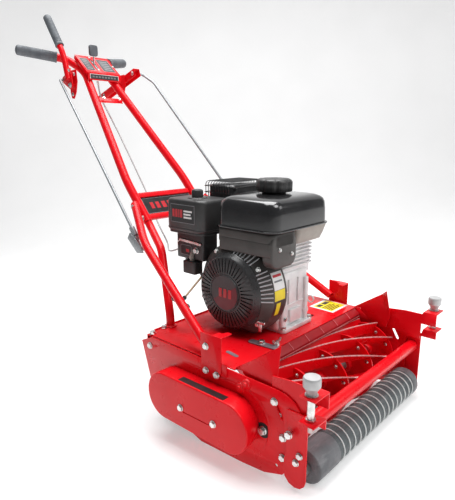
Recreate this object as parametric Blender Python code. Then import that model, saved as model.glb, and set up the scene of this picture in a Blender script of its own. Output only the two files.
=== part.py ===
"""Walk-behind front-throw reel mower with a small petrol engine, one object for each piece.

Metres, +Z up. The roller and reel lead toward -Y, the handle trails toward +Y, and the operator's right is -X.
"""

import math

import bmesh
import bpy
import numpy as np
from mathutils import Matrix, Vector
from mathutils.geometry import tessellate_polygon

# Everything below is laid out square to the deck. The mower is cut low in front, so it is then leaned nose down
# by LEAN until the roller and both wheels stand on the ground, and moved so that it is centred.
LEAN = math.radians(4.5)
CENTRE_Y = 0.1437
CENTRE_X = -0.00485

# Side plates and deck
PLATE_OUT = 0.272
PLATE_IN = 0.269
DECK_LOW = 0.2390
DECK_TOP = 0.2420
DECK_FRONT = -0.201
DECK_REAR = 0.098

# Cutting reel, bed knife, roller, wheels
REEL_Y = -0.252
REEL_Z = 0.131
REEL_R = 0.0905
REEL_HALF = 0.250
REEL_SHAFT_R = 0.011
BLADES = 10
BLADE_TWIST = math.radians(115.0)
BLADE_START = math.radians(-8.8)
COUNTER_Y = -0.136
COUNTER_Z = 0.152
ROLLER_Y = -0.3693
ROLLER_Z = 0.0762
ROLLER_R = 0.0378
ROLLER_HALF = 0.2428
ROLLER_RINGS = 16
RING_PITCH = 0.0238
RING_FIRST = -0.1477
GROUND = ROLLER_Y * math.sin(LEAN) + ROLLER_Z * math.cos(LEAN) - ROLLER_R
AXLE_Y = -0.004
WHEEL_R = 0.108
AXLE_Z = (GROUND + WHEEL_R - AXLE_Y * math.sin(LEAN)) / math.cos(LEAN)

# Engine
CRANK_Y = -0.064
CRANK_Z = 0.354

# Height screws
KNOB_X = 0.297
KNOB_Y = -0.411

# Handle
GRIP_R = 0.0165
TUBE_R = 0.0127
LOWER_R = 0.0112


# ---------------------------------------------------------------- helpers
def clear_scene():
    for old in list(bpy.data.objects):
        bpy.data.objects.remove(old, do_unlink=True)


def paint(name, colour, rough, metal):
    mat = bpy.data.materials.new(name)
    mat.use_nodes = True
    shader = mat.node_tree.nodes["Principled BSDF"]
    shader.inputs["Base Color"].default_value = (*colour, 1.0)
    shader.inputs["Roughness"].default_value = rough
    shader.inputs["Metallic"].default_value = metal
    mat.diffuse_color = (*colour, 1.0)
    return mat


COLOURS = {
    "red": ((0.62, 0.012, 0.016), 0.32, 0.0),
    "zinc": ((0.62, 0.63, 0.63), 0.36, 1.0),
    "steel": ((0.33, 0.34, 0.35), 0.42, 1.0),
    "cast": ((0.66, 0.67, 0.67), 0.5, 0.9),
    "black": ((0.025, 0.026, 0.028), 0.45, 0.0),
    "grip": ((0.16, 0.17, 0.18), 0.75, 0.0),
    "rubber": ((0.03, 0.03, 0.03), 0.85, 0.0),
    "roller": ((0.12, 0.14, 0.145), 0.6, 0.0),
    "grey": ((0.45, 0.44, 0.41), 0.5, 0.0),
}


def finish(obj, slot, origin=None, smooth=True):
    colour, rough, metal = COLOURS[slot]
    obj.data.materials.clear()
    obj.data.materials.append(paint(obj.name, colour, rough, metal))
    if smooth:
        obj.data.shade_smooth()
        obj.data.set_sharp_from_angle(angle=math.radians(32.0))
    if origin is not None:
        obj.data.transform(Matrix.Translation(-Vector(origin)))
        obj.location = Vector(origin)
    return obj


def mesh_object(name, points, faces):
    mesh = bpy.data.meshes.new(name)
    mesh.from_pydata([tuple(p) for p in points], [], [tuple(f) for f in faces])
    work = bmesh.new()
    work.from_mesh(mesh)
    bmesh.ops.remove_doubles(work, verts=work.verts, dist=1e-6)
    bmesh.ops.recalc_face_normals(work, faces=work.faces)
    if work.calc_volume(signed=True) < 0.0:
        bmesh.ops.reverse_faces(work, faces=work.faces)
    work.to_mesh(mesh)
    work.free()
    obj = bpy.data.objects.new(name, mesh)
    bpy.context.collection.objects.link(obj)
    return obj


def placed(u, v, w, axis):
    """A point whose w lies along the axis and whose u, v follow in the order x, y, z."""
    if axis == "X":
        return (w, u, v)
    if axis == "Y":
        return (u, w, v)
    return (u, v, w)


def slab(name, loops, low, high, axis="X"):
    """A flat plate from low to high along the axis. The first loop is its outline and the others are holes."""
    flat = [[Vector((u, v, 0.0)) for u, v in loop] for loop in loops]
    triangles = tessellate_polygon(flat)
    count = sum(len(loop) for loop in loops)
    points = [placed(u, v, low, axis) for loop in loops for u, v in loop]
    points += [placed(u, v, high, axis) for loop in loops for u, v in loop]
    faces = [tuple(t) for t in triangles]
    faces += [tuple(i + count for i in reversed(t)) for t in triangles]
    start = 0
    for loop in loops:
        size = len(loop)
        for i in range(size):
            a = start + i
            b = start + (i + 1) % size
            faces.append((a, b, b + count, a + count))
        start += size
    return mesh_object(name, points, faces)


def ring(cu, cv, radius, steps=14, turn=0.0):
    angles = [turn + 2 * math.pi * i / steps for i in range(steps)]
    return [(cu + radius * math.cos(a), cv + radius * math.sin(a)) for a in angles]


def capsule(u0, v0, u1, v1, radius, steps=10):
    """The outline of a slot: half circles of the same radius round two centres."""
    lean = math.atan2(v1 - v0, u1 - u0)
    points = []
    for i in range(steps + 1):
        a = lean + math.pi / 2 + math.pi * i / steps
        points.append((u0 + radius * math.cos(a), v0 + radius * math.sin(a)))
    for i in range(steps + 1):
        a = lean - math.pi / 2 + math.pi * i / steps
        points.append((u1 + radius * math.cos(a), v1 + radius * math.sin(a)))
    return points


def lathe(name, profile, origin, axis, steps=20):
    """Turns (radius, along) pairs round the axis direction. The profile starts and ends on the axis, or closes itself."""
    along = Vector(axis).normalized()
    side = along.orthogonal().normalized()
    other = along.cross(side)
    open_ends = profile[0][0] < 1e-9 and profile[-1][0] < 1e-9
    points = []
    rows = []
    for radius, height in profile:
        centre = Vector(origin) + along * height
        if radius < 1e-9:
            rows.append([len(points)] * steps)
            points.append(centre)
            continue
        row = []
        for i in range(steps):
            a = 2 * math.pi * i / steps
            row.append(len(points))
            points.append(centre + (side * math.cos(a) + other * math.sin(a)) * radius)
        rows.append(row)
    faces = []
    pairs = list(zip(rows[:-1], rows[1:]))
    if not open_ends:
        pairs.append((rows[-1], rows[0]))
    for low, high in pairs:
        for i in range(steps):
            j = (i + 1) % steps
            corner = [low[i], low[j], high[j], high[i]]
            kept = [c for k, c in enumerate(corner) if c not in corner[:k]]
            if len(kept) > 2:
                faces.append(tuple(kept))
    return mesh_object(name, points, faces)


def rod(name, radius, start, end, steps=14):
    a = Vector(start)
    b = Vector(end)
    length = (b - a).length
    profile = [(0.0, 0.0), (radius, 0.0), (radius, length), (0.0, length)]
    return lathe(name, profile, a, b - a, steps)


def bent(path, radius, steps=4):
    """The path with each inner corner turned into an arc of about this radius."""
    points = [Vector(path[0])]
    for before, corner, after in zip(path[:-2], path[1:-1], path[2:]):
        corner = Vector(corner)
        back = (Vector(before) - corner).normalized()
        ahead = (Vector(after) - corner).normalized()
        for i in range(steps + 1):
            t = i / steps
            a = corner + back * radius
            c = corner + ahead * radius
            points.append(a * (1 - t) ** 2 + corner * 2 * t * (1 - t) + c * t**2)
    points.append(Vector(path[-1]))
    return points


def tube(name, path, radius, steps=12):
    """A round bar swept along the path."""
    path = [Vector(p) for p in path]
    heading = (path[1] - path[0]).normalized()
    side = heading.orthogonal().normalized()
    points = []
    rows = []
    for i, place in enumerate(path):
        before = path[max(i - 1, 0)]
        after = path[min(i + 1, len(path) - 1)]
        heading = (after - before).normalized()
        side = (side - heading * side.dot(heading)).normalized()
        other = heading.cross(side)
        row = []
        for k in range(steps):
            a = 2 * math.pi * k / steps
            row.append(len(points))
            points.append(place + (side * math.cos(a) + other * math.sin(a)) * radius)
        rows.append(row)
    faces = [tuple(rows[0][::-1]), tuple(rows[-1])]
    for low, high in zip(rows[:-1], rows[1:]):
        for k in range(steps):
            j = (k + 1) % steps
            faces.append((low[k], low[j], high[j], high[k]))
    return mesh_object(name, points, faces)


def block(name, low, high, chamfer=0.0, steps=1):
    x0, y0, z0 = low
    x1, y1, z1 = high
    obj = slab(name, [[(x0, y0), (x1, y0), (x1, y1), (x0, y1)]], z0, z1, "Z")
    if chamfer:
        work = bmesh.new()
        work.from_mesh(obj.data)
        bmesh.ops.bevel(
            work,
            geom=list(work.edges) + list(work.verts),
            offset=chamfer,
            segments=steps,
            profile=0.5,
            affect="EDGES",
        )
        work.to_mesh(obj.data)
        work.free()
    return obj


def folded(name, points, faces, thickness, offset=0.0):
    """Sheet metal: an open surface of flat faces given a thickness."""
    mesh = bpy.data.meshes.new(name)
    mesh.from_pydata([tuple(p) for p in points], [], [tuple(f) for f in faces])
    obj = bpy.data.objects.new(name, mesh)
    bpy.context.collection.objects.link(obj)
    solid = obj.modifiers.new("sheet", "SOLIDIFY")
    solid.thickness = thickness
    solid.offset = offset
    solid.use_even_offset = True
    return obj


def strip(name, profile, low, high, thickness, offset=0.0):
    """A sheet whose bent (y, z) profile runs from low to high along X."""
    size = len(profile)
    points = [(low, y, z) for y, z in profile] + [(high, y, z) for y, z in profile]
    faces = [(i, i + 1, i + 1 + size, i + size) for i in range(size - 1)]
    return folded(name, points, faces, thickness, offset)


def fuse(base, extras, operation="UNION"):
    """Joins the extras to the base, or cuts them from it, and leaves one plain mesh."""
    for number, extra in enumerate(extras):
        extra.hide_render = True
        extra.display_type = "WIRE"
        step = base.modifiers.new(f"join{number}", "BOOLEAN")
        step.operation = operation
        step.solver = "EXACT"
        step.object = extra
    graph = bpy.context.evaluated_depsgraph_get()
    made = bpy.data.meshes.new_from_object(base.evaluated_get(graph))
    base.modifiers.clear()
    base.data = made
    for extra in extras:
        bpy.data.objects.remove(extra, do_unlink=True)
    return base


def joined(name, pieces):
    """One object that holds several separate closed bodies, for use as a cutter or a joiner."""
    points = []
    faces = []
    for piece in pieces:
        start = len(points)
        points += [v.co.copy() for v in piece.data.vertices]
        faces += [tuple(start + i for i in poly.vertices) for poly in piece.data.polygons]
        bpy.data.objects.remove(piece, do_unlink=True)
    return mesh_object(name, points, faces)


def mirrored(points):
    return [(-p[0], p[1], p[2]) for p in points]


def at_side(side, points):
    """The points as given for the right side, or their mirror for the left."""
    return points if side == "right" else mirrored(points)


def span(side, inner, outer):
    """An X range beyond the centre, on the right (-X) or on the left (+X)."""
    return (-outer, -inner) if side == "right" else (inner, outer)


def unfold(obj):
    """Turns an object's modifiers into plain mesh."""
    return fuse(obj, [])


clear_scene()
SIDES = ("right", "left")

# ---------------------------------------------------------------- frame
PLATE = [
    (0.113, 0.219),
    (0.071, 0.2385),
    (-0.318, 0.2385),
    (-0.340, 0.2350),
    (-0.359, 0.2260),
    (-0.372, 0.2110),
    (-0.372, 0.2000),
    (-0.3550, 0.1900),
    (-0.3550, 0.1000),
    (-0.3500, 0.0760),
    (-0.3340, 0.0550),
    (-0.2880, 0.0380),
    (-0.2270, 0.0310),
    (-0.0990, 0.0240),
    (-0.0300, 0.0440),
    (0.0400, 0.0780),
    (0.0740, 0.1050),
    (0.0840, 0.1280),
]
for side in SIDES:
    holes = [
        ring(REEL_Y, REEL_Z, REEL_SHAFT_R + 0.0006),
        ring(COUNTER_Y, COUNTER_Z, 0.0092),
        ring(AXLE_Y, AXLE_Z, 0.0092),
        ring(-0.319, 0.070, 0.0035, 8),
        capsule(-0.3155, 0.205, -0.3300, 0.180, 0.0035, 4),
    ]
    plate = slab(f"{side}_side_plate", [PLATE] + holes, *span(side, PLATE_IN, PLATE_OUT))
    finish(plate, "red", smooth=False)

belt_slot = [(0.094, -0.150), (0.126, -0.150), (0.126, -0.018), (0.094, -0.018)]
corner = 0.2684
deck_outline = [
    (-corner, DECK_FRONT),
    (corner, DECK_FRONT),
    (corner, 0.070),
    (0.255, DECK_REAR),
    (-0.255, DECK_REAR),
    (-corner, 0.070),
]
deck = slab("engine_deck", [deck_outline, belt_slot], DECK_LOW, DECK_TOP, "Z")
finish(deck, "red", smooth=False)

apron = strip(
    "rear_apron",
    [(0.0720, 0.2372), (0.0945, 0.2372), (0.0945, 0.1700)],
    -0.2682,
    0.2682,
    0.0025,
)
finish(unfold(apron), "red", smooth=False)

channel = strip(
    "deck_front_channel",
    [(-0.1720, 0.2374), (-0.2012, 0.2374), (-0.2160, 0.2250), (-0.2160, 0.2180)],
    -0.2590,
    0.2590,
    0.0022,
)
ribs = []
for i in range(7):
    x = -0.2100 + 0.0690 * i
    outline = [(-0.2022, 0.2366), (-0.2028, 0.2402), (-0.2168, 0.2284), (-0.2160, 0.2248)]
    ribs.append(slab(f"rib{i}", [outline], x - 0.001, x + 0.001))
fuse(channel, [joined("ribs", ribs)])
finish(channel, "red", smooth=False)

for side in SIDES:
    points = [
        (-0.2614, -0.1990, 0.2440),
        (-0.2614, -0.2790, 0.2985),
        (-0.2614, -0.3082, 0.2413),
        (-0.2614, -0.2980, 0.2060),
        (-0.2614, -0.2640, 0.2060),
        (-0.2614, -0.2195, 0.2380),
        (-0.2614, -0.2195, 0.2440),
        (-0.2400, -0.3015, 0.3173),
    ]
    faces = [(0, 6, 5, 4, 3, 2, 1), (1, 2, 7)]
    shield = folded(f"{side}_side_shield", at_side(side, points), faces, 0.0025)
    finish(unfold(shield), "red", smooth=False)

for side in SIDES:
    points = [
        (-0.2740, -0.1680, 0.3040),
        (-0.2740, -0.1680, 0.2240),
        (-0.2740, -0.1560, 0.2060),
        (-0.2740, -0.1120, 0.2060),
        (-0.2740, -0.1070, 0.2240),
        (-0.2740, -0.1050, 0.3040),
        (-0.2400, -0.1680, 0.3040),
        (-0.2400, -0.1560, 0.3040),
        (-0.2540, -0.1520, 0.3040),
        (-0.2540, -0.1420, 0.3040),
        (-0.2740, -0.1420, 0.3040),
    ]
    faces = [(0, 1, 2, 3, 4, 5, 10), (0, 10, 9, 8, 7, 6)]
    bracket = folded(f"{side}_handle_bracket", at_side(side, points), faces, 0.0026)
    finish(unfold(bracket), "red", smooth=False)

# ---------------------------------------------------------------- handle
LOWER = [(-0.2608, -0.1180, 0.2600), (-0.1960, 0.1850, 0.4500), (-0.1380, 0.2980, 0.5380)]
BRACE = [
    (-0.1970, 0.0870, 0.2424),
    (-0.1970, 0.0870, 0.2700),
    (-0.1500, 0.1710, 0.4280),
    (-0.1146, 0.2558, 0.4700),
    (-0.1140, 0.2690, 0.4858),
]
UPPER = [
    (-0.1140, 0.2700, 0.4870),
    (-0.1130, 0.3650, 0.5970),
    (-0.0430, 0.6660, 0.9380),
    (-0.0700, 0.7250, 0.9790),
    (-0.2000, 0.7930, 1.0000),
]
for side in SIDES:
    lower = tube(f"{side}_lower_tube", bent(at_side(side, LOWER), 0.035), LOWER_R)
    finish(lower, "red")
    brace = tube(f"{side}_rear_brace", bent(at_side(side, BRACE), 0.020, 3), LOWER_R)
    finish(brace, "red")
    handle = tube(f"{side}_handle_tube", bent(at_side(side, UPPER), 0.030), TUBE_R)
    finish(handle, "red")
    inner = Vector(UPPER[-2])
    outer = Vector(UPPER[-1])
    heading = (outer - inner).normalized()
    start = inner + heading * 0.0320
    end = outer + heading * 0.0120
    if side == "left":
        start.x = -start.x
        end.x = -end.x
    length = (end - start).length
    bore = TUBE_R + 0.0004
    reach = length - 0.0115
    profile = [(bore, 0.0), (0.0152, 0.0), (GRIP_R, 0.0020), (GRIP_R, length - 0.006)]
    profile += [(0.0120, length - 0.0005), (0.0, length), (0.0, reach), (bore, reach)]
    grip = lathe(f"{side}_grip", profile, start, end - start, 16)
    finish(grip, "grip")

SLOPE = Vector((-0.6455, -0.7640))
FACING = Vector((0.7640, -0.6455))


def section(centre, along, across):
    """A rectangle in the (y, z) plane of the sloping name panel."""
    middle = Vector(centre)
    corners = ((along, across), (-along, across), (-along, -across), (along, -across))
    return [tuple(middle + SLOPE * a + FACING * b) for a, b in corners]


UPPER_BAR = Vector((0.3320, 0.5550))
LOWER_BAR = Vector((0.2830, 0.4970))
gap = (LOWER_BAR - UPPER_BAR).length / 2 - 0.0084
finish(slab("upper_crossbar", [section(UPPER_BAR, 0.0080, 0.0060)], -0.1000, 0.1000), "red", smooth=False)
finish(slab("lower_crossbar", [section(LOWER_BAR, 0.0080, 0.0060)], -0.1005, 0.1005), "red", smooth=False)
middle = (UPPER_BAR + LOWER_BAR) / 2
finish(slab("name_panel", [section(middle, gap, 0.0012)], -0.0980, 0.0980), "black", smooth=False)

points = [
    (-0.0630, 0.6180, 0.9300),
    (0.0630, 0.6180, 0.9300),
    (0.0610, 0.6900, 0.9900),
    (-0.0610, 0.6900, 0.9900),
    (-0.0630, 0.6170, 0.9075),
    (0.0630, 0.6170, 0.9075),
    (-0.0630, 0.6260, 0.9220),
    (-0.0610, 0.6960, 0.9800),
    (0.0630, 0.6260, 0.9220),
    (0.0610, 0.6960, 0.9800),
]
faces = [(0, 1, 2, 3), (4, 5, 1, 0), (0, 3, 7, 6), (1, 8, 9, 2), (3, 2, 9, 7)]
panel = unfold(folded("control_panel", points, faces, 0.0020))
slot = block("slot", (-0.0160, 0.6360, 0.9300), (-0.0080, 0.6760, 1.0000))
fuse(panel, [slot], "DIFFERENCE")
finish(panel, "red", smooth=False)

for side in SIDES:
    outline = [
        (0.6360, 0.9380),
        (0.6320, 0.9000),
        (0.6420, 0.8680),
        (0.6560, 0.8480),
        (0.6680, 0.8500),
        (0.6740, 0.8660),
        (0.6780, 0.8950),
        (0.6900, 0.9180),
        (0.6740, 0.9360),
    ]
    hole = ring(0.6500, 0.8890, 0.0044, 10)
    ear = slab(f"{side}_lever_bracket", [outline, hole], *span(side, 0.0920, 0.0950))
    finish(ear, "red", smooth=False)

# ---------------------------------------------------------------- levers, rods, throttle
PIVOT = (-0.1000, 0.6500, 0.8890)
outline = [
    (0.6400, 0.8800),
    (0.6560, 0.8780),
    (0.6960, 0.9000),
    (0.7000, 0.9120),
    (0.6900, 0.9190),
    (0.6700, 0.9260),
    (0.6640, 0.9420),
    (0.6480, 0.9420),
    (0.6390, 0.9000),
]
arm = slab("right_lever", [outline], -0.1086, -0.1046)
path = bent([(-0.1120, 0.6540, 0.9080), (-0.1120, 0.6740, 0.9860), (-0.1120, 0.7560, 1.1020)], 0.03)
pin = rod("pin", 0.0040, (-0.0900, 0.6500, 0.8890), (-0.1060, 0.6500, 0.8890), 10)
lever_tube = tube("lever_tube", path, 0.0092)
fuse(arm, [lever_tube, pin])
finish(arm, "red", PIVOT)
head = Vector((-0.1120, 0.6740, 0.9860))
tip = Vector((-0.1120, 0.7560, 1.1020))
heading = (tip - head).normalized()
start = head + heading * 0.0315
length = (tip + heading * 0.0120 - start).length
bore = 0.0096
reach = length - 0.0115
profile = [(bore, 0.0), (0.0118, 0.0), (0.0130, 0.0020), (0.0130, length - 0.006)]
profile += [(0.0095, length - 0.0005), (0.0, length), (0.0, reach), (bore, reach)]
grip = lathe("right_lever_grip", profile, start, heading, 14)
finish(grip, "grip", PIVOT)

front = Vector((0.0, 0.5820, 0.9430))
rear = Vector((0.0, 0.8050, 0.8640))
heading = (rear - front).normalized()
up = Vector((0.0, -heading.z, heading.y))
LEFT_PIVOT = (0.1085, 0.6720, 0.9110)
points = []
for centre in (front, rear):
    for x, rise in ((0.0975, -0.013), (0.0975, 0.011), (0.1195, 0.011), (0.1195, -0.013)):
        points.append((x, centre.y + up.y * rise, centre.z + up.z * rise))
faces = [(0, 1, 5, 4), (1, 2, 6, 5), (2, 3, 7, 6)]
lever = unfold(folded("left_lever", points, faces, 0.0020))
finish(lever, "red", LEFT_PIVOT, smooth=False)

ROD_R = 0.0042
path = [
    (-0.1092, 0.6910, 0.9080),
    (-0.1210, 0.6910, 0.9080),
    (-0.1850, 0.2370, 0.4610),
    (-0.1850, 0.2140, 0.4270),
    (-0.1650, 0.2020, 0.4240),
]
finish(tube("right_control_rod", bent(path, 0.008, 3), ROD_R, 8), "zinc", (-0.1092, 0.6910, 0.9080))
path = [
    (0.1212, 0.5940, 0.9390),
    (0.1330, 0.5940, 0.9390),
    (0.1420, 0.5850, 0.9330),
    (0.1450, 0.5400, 0.9080),
    (0.1800, -0.0200, 0.3200),
]
finish(tube("left_control_rod", bent(path, 0.0055, 3), ROD_R, 8), "zinc", (0.1212, 0.5940, 0.9390))

THROTTLE = (-0.0120, 0.6560, 0.9480)
stem = block("throttle_lever", (-0.0135, 0.6535, 0.9440), (-0.0105, 0.6595, 0.9920))
paddle = block("paddle", (-0.0275, 0.6530, 0.9880), (0.0035, 0.6610, 1.0230), 0.003)
fuse(stem, [paddle])
finish(stem, "grip", THROTTLE)

CABLE = [
    (-0.0120, 0.6420, 0.9080),
    (0.0060, 0.6560, 0.8560),
    (0.0100, 0.5600, 0.7300),
    (0.0080, 0.4280, 0.5520),
    (0.0, 0.3660, 0.4580),
    (-0.0500, 0.2600, 0.4150),
    (-0.1000, 0.2000, 0.4050),
    (-0.0900, 0.1550, 0.4250),
]
finish(tube("throttle_cable", bent(CABLE, 0.03, 3), 0.0026, 8), "black")

# ---------------------------------------------------------------- cutting reel
START = -0.2915
steps_x = [-0.243, -0.124, 0.0, 0.124, 0.243]
profile = [(0.0, 0.0), (REEL_SHAFT_R, 0.0)]
for low, high, radius in [(-0.2885, -0.2830, 0.0192)] + [(x - 0.002, x + 0.002, 0.080) for x in steps_x]:
    profile += [(REEL_SHAFT_R, low - START), (radius, low - START)]
    profile += [(radius, high - START), (REEL_SHAFT_R, high - START)]
profile += [(REEL_SHAFT_R, 0.2700 - START), (0.0, 0.2700 - START)]
reel = lathe("reel", profile, (START, REEL_Y, REEL_Z), (1, 0, 0), 20)
blades = []
SLICES = 12
for number in range(BLADES):
    points = []
    for i in range(SLICES + 1):
        x = -REEL_HALF + 2 * REEL_HALF * i / SLICES
        turn = BLADE_START + 2 * math.pi * number / BLADES + BLADE_TWIST * i / SLICES
        for radius, half in ((0.062, -0.0016), (REEL_R, -0.0016), (REEL_R, 0.0016), (0.062, 0.0016)):
            y = radius * math.cos(turn) - half * math.sin(turn)
            z = radius * math.sin(turn) + half * math.cos(turn)
            points.append((x, REEL_Y + y, REEL_Z + z))
    faces = [(3, 2, 1, 0), tuple(4 * SLICES + k for k in range(4))]
    for i in range(SLICES):
        for k in range(4):
            a = 4 * i + k
            b = 4 * i + (k + 1) % 4
            faces.append((a, b, b + 4, a + 4))
    blades.append(mesh_object(f"blade{number}", points, faces))
fuse(reel, [joined("blades", blades)])
finish(reel, "red", (0.0, REEL_Y, REEL_Z))

knife = [
    (-0.2620, 0.0330),
    (-0.1880, 0.0330),
    (-0.1760, 0.0420),
    (-0.1760, 0.0560),
    (-0.1920, 0.0560),
    (-0.2050, 0.0440),
    (-0.2250, 0.0375),
    (-0.2620, 0.0370),
]
finish(slab("bedknife", [knife], -0.2580, 0.2580), "steel", smooth=False)

# ---------------------------------------------------------------- drive
start = -0.2890
profile = [(0.0, 0.0), (0.0085, 0.0)]
for low, high, radius in ((-0.2885, -0.2830, 0.0192), (0.1020, 0.1150, 0.0197)):
    profile += [(0.0085, low - start), (radius, low - start)]
    profile += [(radius, high - start), (0.0085, high - start)]
profile += [(0.0085, 0.2700 - start), (0.0, 0.2700 - start)]
shaft = lathe("countershaft", profile, (start, COUNTER_Y, COUNTER_Z), (1, 0, 0), 18)
finish(shaft, "steel", (0.0, COUNTER_Y, COUNTER_Z))

profile = [(0.0, 0.0), (0.0090, 0.0), (0.0090, 0.0220), (0.0197, 0.0220)]
profile += [(0.0197, 0.0350), (0.0090, 0.0350), (0.0090, 0.0400), (0.0, 0.0400)]
pulley = lathe("engine_pulley", profile, (0.0800, CRANK_Y, CRANK_Z), (1, 0, 0), 18)
finish(pulley, "steel", (0.0, CRANK_Y, CRANK_Z))

outer = capsule(COUNTER_Y, COUNTER_Z, CRANK_Y, CRANK_Z, 0.0245)
inner = capsule(COUNTER_Y, COUNTER_Z, CRANK_Y, CRANK_Z, 0.0203)
finish(slab("drive_belt", [outer, inner], 0.1035, 0.1135), "rubber", smooth=False)
outer = capsule(REEL_Y, REEL_Z, COUNTER_Y, COUNTER_Z, 0.0224)
inner = capsule(REEL_Y, REEL_Z, COUNTER_Y, COUNTER_Z, 0.0196)
finish(slab("reel_chain", [outer, inner], -0.2885, -0.2830), "steel", smooth=False)

COVER = (-0.2230, 0.1350, -0.0230, 0.1320)
cover = slab("chain_cover", [capsule(*COVER, 0.0570, 12)], -0.3190, -0.2724)
hollow = slab("hollow", [capsule(*COVER, 0.0550, 12)], -0.3170, -0.2600)
fuse(cover, [hollow], "DIFFERENCE")
heads = [slab("head", [ring(y, z, 0.0085, 12)], -0.3242, -0.3180) for y, z in ((-0.0823, 0.1258), (-0.1851, 0.1284))]
fuse(cover, [joined("heads", heads)])
finish(cover, "red")

axle = rod("rear_axle", 0.0085, (-0.2705, AXLE_Y, AXLE_Z), (0.2705, AXLE_Y, AXLE_Z), 14)
finish(axle, "steel", (0.0, AXLE_Y, AXLE_Z))
for side in SIDES:
    profile = [
        (0.0089, 0.000),
        (0.0220, 0.000),
        (0.0240, 0.010),
        (0.0800, 0.014),
        (0.0820, 0.002),
        (0.1020, 0.000),
        (WHEEL_R, 0.008),
        (WHEEL_R, 0.036),
        (0.1020, 0.044),
        (0.0820, 0.042),
        (0.0800, 0.030),
        (0.0240, 0.034),
        (0.0220, 0.044),
        (0.0089, 0.044),
    ]
    start = (-0.2480 if side == "right" else 0.2040, AXLE_Y, AXLE_Z)
    wheel = lathe(f"{side}_wheel", profile, start, (1, 0, 0), 20)
    finish(wheel, "rubber", (0.0, AXLE_Y, AXLE_Z))

# ---------------------------------------------------------------- roller frame
for side in SIDES:
    points = [
        (-0.2747, -0.3450, 0.2100),
        (-0.2747, -0.3450, 0.1150),
        (-0.2747, -0.3400, 0.0980),
        (-0.2747, -0.3385, 0.0780),
        (-0.2747, -0.3430, 0.0610),
        (-0.2747, -0.3530, 0.0500),
        (-0.2747, -0.3670, 0.0460),
        (-0.2747, -0.3800, 0.0490),
        (-0.2747, -0.3890, 0.0580),
        (-0.2747, -0.3920, 0.0700),
        (-0.2747, -0.3920, 0.2020),
        (-0.2747, -0.4300, 0.2020),
        (-0.2747, -0.4300, 0.2215),
        (-0.2747, -0.3960, 0.2215),
        (-0.2747, -0.3920, 0.2100),
        (-0.3145, -0.4300, 0.2215),
        (-0.3145, -0.3960, 0.2215),
    ]
    faces = [(0, 1, 2, 3, 4, 5, 6, 7, 8, 9, 10, 11, 12, 13, 14), (13, 12, 15, 16)]
    bracket = unfold(folded(f"{side}_roller_bracket", at_side(side, points), faces, 0.0036))
    x = -KNOB_X if side == "right" else KNOB_X
    drill = rod("drill", 0.0050, (x, KNOB_Y, 0.2000), (x, KNOB_Y, 0.2400), 12)
    fuse(bracket, [drill], "DIFFERENCE")
    finish(bracket, "red", (0.0, ROLLER_Y, ROLLER_Z), smooth=False)

tie = rod("front_tie_tube", 0.0150, (-0.2724, -0.3705, 0.1710), (0.2724, -0.3705, 0.1710), 16)
finish(tie, "red", (0.0, ROLLER_Y, ROLLER_Z))
# The axle has a spacer outside each end of the roller.
profile = [(0.0, -0.2724), (0.0150, -0.2724), (0.0150, -0.2434), (0.0080, -0.2434)]
profile += [(radius, -along) for radius, along in reversed(profile)]
axle = lathe("roller_axle", profile, (0.0, ROLLER_Y, ROLLER_Z), (1, 0, 0), 16)
finish(axle, "steel", (0.0, ROLLER_Y, ROLLER_Z))

GROOVE_R = ROLLER_R - 0.0022
profile = [(0.0084, -ROLLER_HALF), (ROLLER_R - 0.003, -ROLLER_HALF), (ROLLER_R, -ROLLER_HALF + 0.003)]
profile += [(ROLLER_R, RING_FIRST - 0.0158), (GROOVE_R, RING_FIRST - 0.0140)]
for i in range(ROLLER_RINGS):
    x = RING_FIRST + RING_PITCH * i
    profile += [(ROLLER_R - 0.0004, x - 0.0012), (ROLLER_R - 0.0004, x + 0.0012)]
    profile += [(GROOVE_R, x + 0.0119)]
profile[-1] = (ROLLER_R, profile[-2][1] + 0.0040)
profile += [(ROLLER_R, ROLLER_HALF - 0.003), (ROLLER_R - 0.003, ROLLER_HALF), (0.0084, ROLLER_HALF)]
roller = lathe("front_roller", profile, (0.0, ROLLER_Y, ROLLER_Z), (1, 0, 0), 18)
finish(roller, "roller", (0.0, ROLLER_Y, ROLLER_Z))

for side in SIDES:
    points = [
        (-0.2664, -0.3000, 0.2620),
        (-0.2664, -0.3000, 0.2100),
        (-0.2664, -0.3920, 0.1950),
        (-0.2664, -0.3920, 0.2400),
        (-0.2664, -0.4300, 0.2400),
        (-0.2664, -0.4300, 0.2725),
        (-0.2664, -0.3960, 0.2725),
        (-0.2664, -0.3920, 0.2670),
        (-0.2664, -0.3480, 0.2670),
        (-0.3145, -0.4300, 0.2725),
        (-0.3145, -0.3960, 0.2725),
    ]
    faces = [(0, 1, 2, 3, 4, 5, 6, 7, 8), (6, 5, 9, 10)]
    bracket = unfold(folded(f"{side}_knob_bracket", at_side(side, points), faces, 0.0030))
    x = -KNOB_X if side == "right" else KNOB_X
    drill = rod("drill", 0.0078, (x, KNOB_Y, 0.2600), (x, KNOB_Y, 0.2850), 14)
    fuse(bracket, [drill], "DIFFERENCE")
    finish(bracket, "red", smooth=False)
    profile = [
        (0.0, 0.1990),
        (0.0036, 0.1990),
        (0.0046, 0.2000),
        (0.0046, 0.2280),
        (0.0073, 0.2280),
        (0.0073, 0.2745),
        (0.0092, 0.2745),
        (0.0096, 0.2860),
        (0.0150, 0.2920),
        (0.0168, 0.2960),
        (0.0168, 0.3060),
        (0.0150, 0.3095),
        (0.0, 0.3105),
    ]
    knob = lathe(f"{side}_height_knob", profile, (x, KNOB_Y, 0.0), (0, 0, 1), 18)
    finish(knob, "cast", (x, KNOB_Y, 0.0))

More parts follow.
